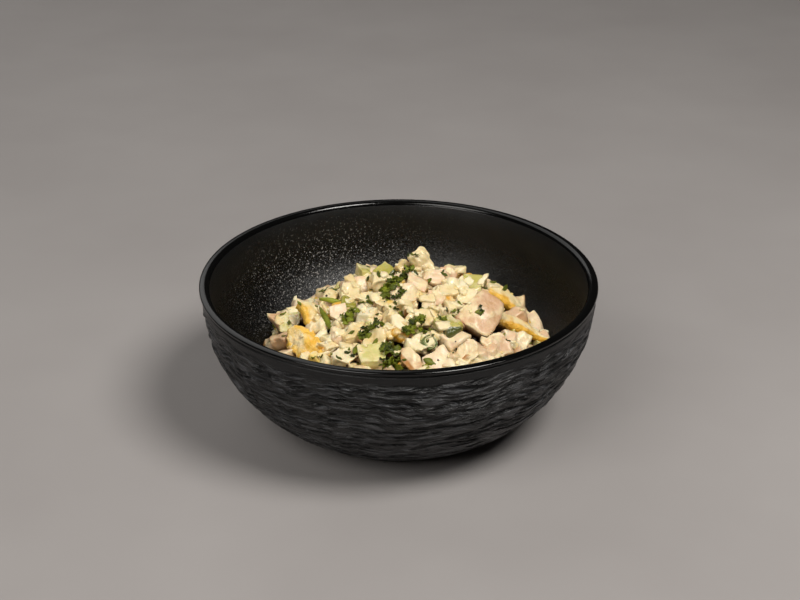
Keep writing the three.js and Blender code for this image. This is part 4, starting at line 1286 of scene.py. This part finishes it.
def is_bare(x, y):
    """Whether a place is on one of the large clean pieces, a pancake or a leaf."""
    bare = [p for p in LARGE_PIECES if p["clear"] >= BARE_FROM or p["kind"] in ("pancake", "leaf", "onion")]
    return any(math.hypot(x - p["x"], y - p["y"]) < max(0.9 * p["clear"], LEAF_CLEAR) for p in bare)


def add_spots(flakes, pepper, surface, random):
    """The pieces of chive and the coarse pepper that the photo shows."""
    for x, y, length, width, turn in CHIVE_SPOTS:
        points, faces = leaf_form(length, width, 0.3, 0.12, (8, 3))
        laid = surface.lay(points, x, y, 0.35, math.radians(turn), 1.0)
        if laid is not None:
            flakes.add(laid, faces, 0.75)
    for x, y in PEPPER_SPOTS:
        points, faces, lift = pepper_form(random)
        laid = surface.lay(points * 1.5, x, y, lift, 0)
        if laid is not None:
            pepper.add(laid, faces, 0.5)


def scatter(surface, batch, count, random, form):
    """Lays a form at random over the heap, densest in the middle."""
    for _ in range(count):
        reach = SMALL_REACH * random() ** 0.6
        angle = 2 * math.pi * random()
        x, y = HEAP_CENTRE[0] + reach * math.cos(angle), HEAP_CENTRE[1] + reach * math.sin(angle)
        points, faces, lift = form(random)
        laid = surface.lay(points, x, y, lift, 2 * math.pi * random())
        if form is scrap_form and is_bare(x, y):
            continue
        if laid is not None and math.hypot(x, y) < inner_radius(heap_height(x, y)) - 6:
            batch.add(laid, faces, random())


def crumb_form(random):
    size = np.array([1.0 + 2.4 * random() ** 2, 0.9 + 1.0 * random(), 0.6 + 0.6 * random()])
    points, faces, _ = convex(box_planes(size, random, 3), size, CRUMB_STEPS, 14)
    return points, faces, 0.1


def scrap_form(random):
    """A torn scrap of egg under dressing."""
    size = np.array([3.0 + 4.5 * random() ** 1.3, 2.2 + 2.6 * random(), 1.2 + 1.6 * random()])
    points, faces, directions = convex(box_planes(size, random, 3), size, SCRAP_STEPS, 16)
    shift = 50 * random()
    torn = smooth_noise(points + shift, 2.2, NOISE["scrap"]) * 0.8
    torn = torn + smooth_noise(points + shift, 1.1, NOISE["fine_scrap"]) * 0.35
    return points + directions * torn[:, None], faces, -0.5


def flake_form(random):
    length = 1.6 + 3.6 * random() ** 1.5
    points, faces = leaf_form(length, length * (0.35 + 0.35 * random()), 0.22, 0.25, (6, 3))
    return points, faces, 0.35


def pepper_form(random):
    size = np.full(3, 0.5 + 0.4 * random())
    points, faces, _ = convex(box_planes(size, random, 3), size, CRUMB_STEPS, 10)
    return points, faces, 0.1


# The looks' pieces, one for each kind. Those that are cut come first.
CUT_KINDS = ("chicken", "pancake", "cucumber", "egg")
PIECE_NAMES = dict(
    chicken="chicken_pieces", pancake="pancake_strips", cucumber="cucumber_dice", egg="egg_dice",
    onion="spring_onion_slice", leaf="leaf_slivers", parsley="parsley_sprigs", dill="dill_tufts",
    crumb="egg_crumbs", scrap="egg_scraps", flake="chopped_herbs", pepper="pepper_grains")


def add_pieces(batches, looks):
    """All that is cut, from the large pieces down to the fine fill."""
    shapes = stream("shapes")
    for piece in LARGE_PIECES:
        kind = piece["kind"]
        if "tip" in piece:
            add_strip(batches[kind], piece, looks)
        elif kind in CUT_KINDS:
            add_cut(batches[kind], piece, shapes, looks, LARGE_STEPS)
        elif kind == "onion":
            add_onion(batches[kind], piece, looks)
    for piece in small_pieces(stream("small")):
        add_cut(batches[piece["kind"]], piece, shapes, looks, SMALL_STEPS)
    for piece in fill_pieces(stream("fill")):
        add_cut(batches[piece["kind"]], piece, looks, looks, SCRAP_STEPS)
    for piece in torn_pieces(stream("torn")):
        add_cut(batches[piece["kind"]], piece, looks, looks, SMALL_STEPS)


def add_toppings(batches, surface, looks):
    """Leaves, sprigs and tufts, then all that is chopped or strewn."""
    for piece in LARGE_PIECES:
        if piece["kind"] == "leaf":
            length, width, _ = piece["size"]
            points, faces = leaf_form(length, width * 0.8, 0.3, 0.4, (16, 4))
            batches["leaf"].add(place_piece(points, piece), faces, looks())
        elif piece["kind"] == "parsley":
            add_parsley(batches["parsley"], piece, surface, looks)
        elif piece["kind"] == "dill":
            add_dill(batches["dill"], piece, looks)
    add_herb_spots(batches["parsley"], surface, stream("herbs"))
    add_spots(batches["flake"], batches["pepper"], surface, stream("spots"))
    scatter(surface, batches["scrap"], SCRAP_COUNT, stream("scrap"), scrap_form)
    scatter(surface, batches["crumb"], CRUMB_COUNT, stream("crumb"), crumb_form)
    scatter(surface, batches["flake"], FLAKE_COUNT, stream("flake"), flake_form)
    scatter(surface, batches["pepper"], PEPPER_COUNT, stream("pepper"), pepper_form)


def make_salad():
    batches = {kind: Batch(name) for kind, name in PIECE_NAMES.items()}
    materials = salad_materials()
    looks = stream("looks")
    add_pieces(batches, looks)
    dressing, relief = make_dressing([batches[kind] for kind in CUT_KINDS])
    made = [batches[kind].make(materials[kind], relief) for kind in CUT_KINDS]
    add_toppings(batches, Surface([dressing, *made]), looks)
    for kind, batch in batches.items():
        if kind not in CUT_KINDS:
            batch.make(materials[kind], relief)


# Stage


FLOOR_HALF = 3000
# In metres, as lamps are
LAMP_DISTANCE = 1.2
WARM_WHITE = (1.0, 0.97, 0.92)


def make_floor():
    material, tree, shader = new_material("studio_floor")
    colour = ramp(tree, noise_node(tree, 8, 3), [(0.3, (0.315, 0.295, 0.29)), (0.7, (0.345, 0.325, 0.32))])
    tree.links.new(colour, shader.inputs["Base Color"])
    set_inputs(shader, roughness=0.85)
    half = FLOOR_HALF
    corners = [(-half, -half, 0), (half, -half, 0), (half, half, 0), (-half, half, 0)]
    floor = make_piece("studio_floor", np.array(corners, float), [[0, 1, 2, 3]], material, None)


def make_light(name, azimuth, elevation, size, power, colour):
    """A soft panel that faces the bowl. Azimuth 0 is the camera's side, 90 the right."""
    data = bpy.data.lights.new(name, "AREA")
    data.shape = "DISK"
    data.size = size
    data.energy = power
    data.color = colour
    light = bpy.data.objects.new(name, data)
    bpy.context.scene.collection.objects.link(light)
    level, round_ = math.radians(elevation), math.radians(azimuth)
    place = Vector((math.sin(round_) * math.cos(level), -math.cos(round_) * math.cos(level), math.sin(level)))
    target = Vector((0, 0, 0.03))
    light.location = target + place * LAMP_DISTANCE
    light.rotation_euler = (-place).to_track_quat("-Z", "Y").to_euler()


def make_stage():
    make_floor()
    make_light("key", azimuth=50, elevation=58, size=0.5, power=12.0, colour=WARM_WHITE)
    make_light("fill", azimuth=322, elevation=42, size=0.8, power=6.4, colour=WARM_WHITE)
    make_light("back", azimuth=215, elevation=42, size=1.2, power=3.0, colour=(1.0, 0.99, 0.97))
    world = bpy.data.worlds.new("studio")
    world.use_nodes = True
    world.node_tree.nodes["Background"].inputs["Color"].default_value = (1.0, 0.93, 0.84, 1)
    world.node_tree.nodes["Background"].inputs["Strength"].default_value = 0.02
    bpy.context.scene.world = world
    bpy.context.scene.view_settings.view_transform = "Standard"


# The camera found by fitting the rim and the wall's outline in the photo
CAMERA_PLACE = (0.57, -578.5, 344.1)
CAMERA_PITCH = 26.69
CAMERA_FOCUS_PIXELS = 1500
PHOTO_WIDTH = 800
SENSOR_WIDTH = 36


def make_camera():
    data = bpy.data.cameras.new("camera")
    data.sensor_width = SENSOR_WIDTH
    data.lens = CAMERA_FOCUS_PIXELS / PHOTO_WIDTH * SENSOR_WIDTH
    camera = bpy.data.objects.new("camera", data)
    camera.location = Vector(CAMERA_PLACE) * MM
    camera.rotation_euler = Euler((math.radians(90 - CAMERA_PITCH), 0, 0))
    bpy.context.scene.collection.objects.link(camera)
    bpy.context.scene.camera = camera


make_camera()
make_stage()
make_bowl()
make_salad()
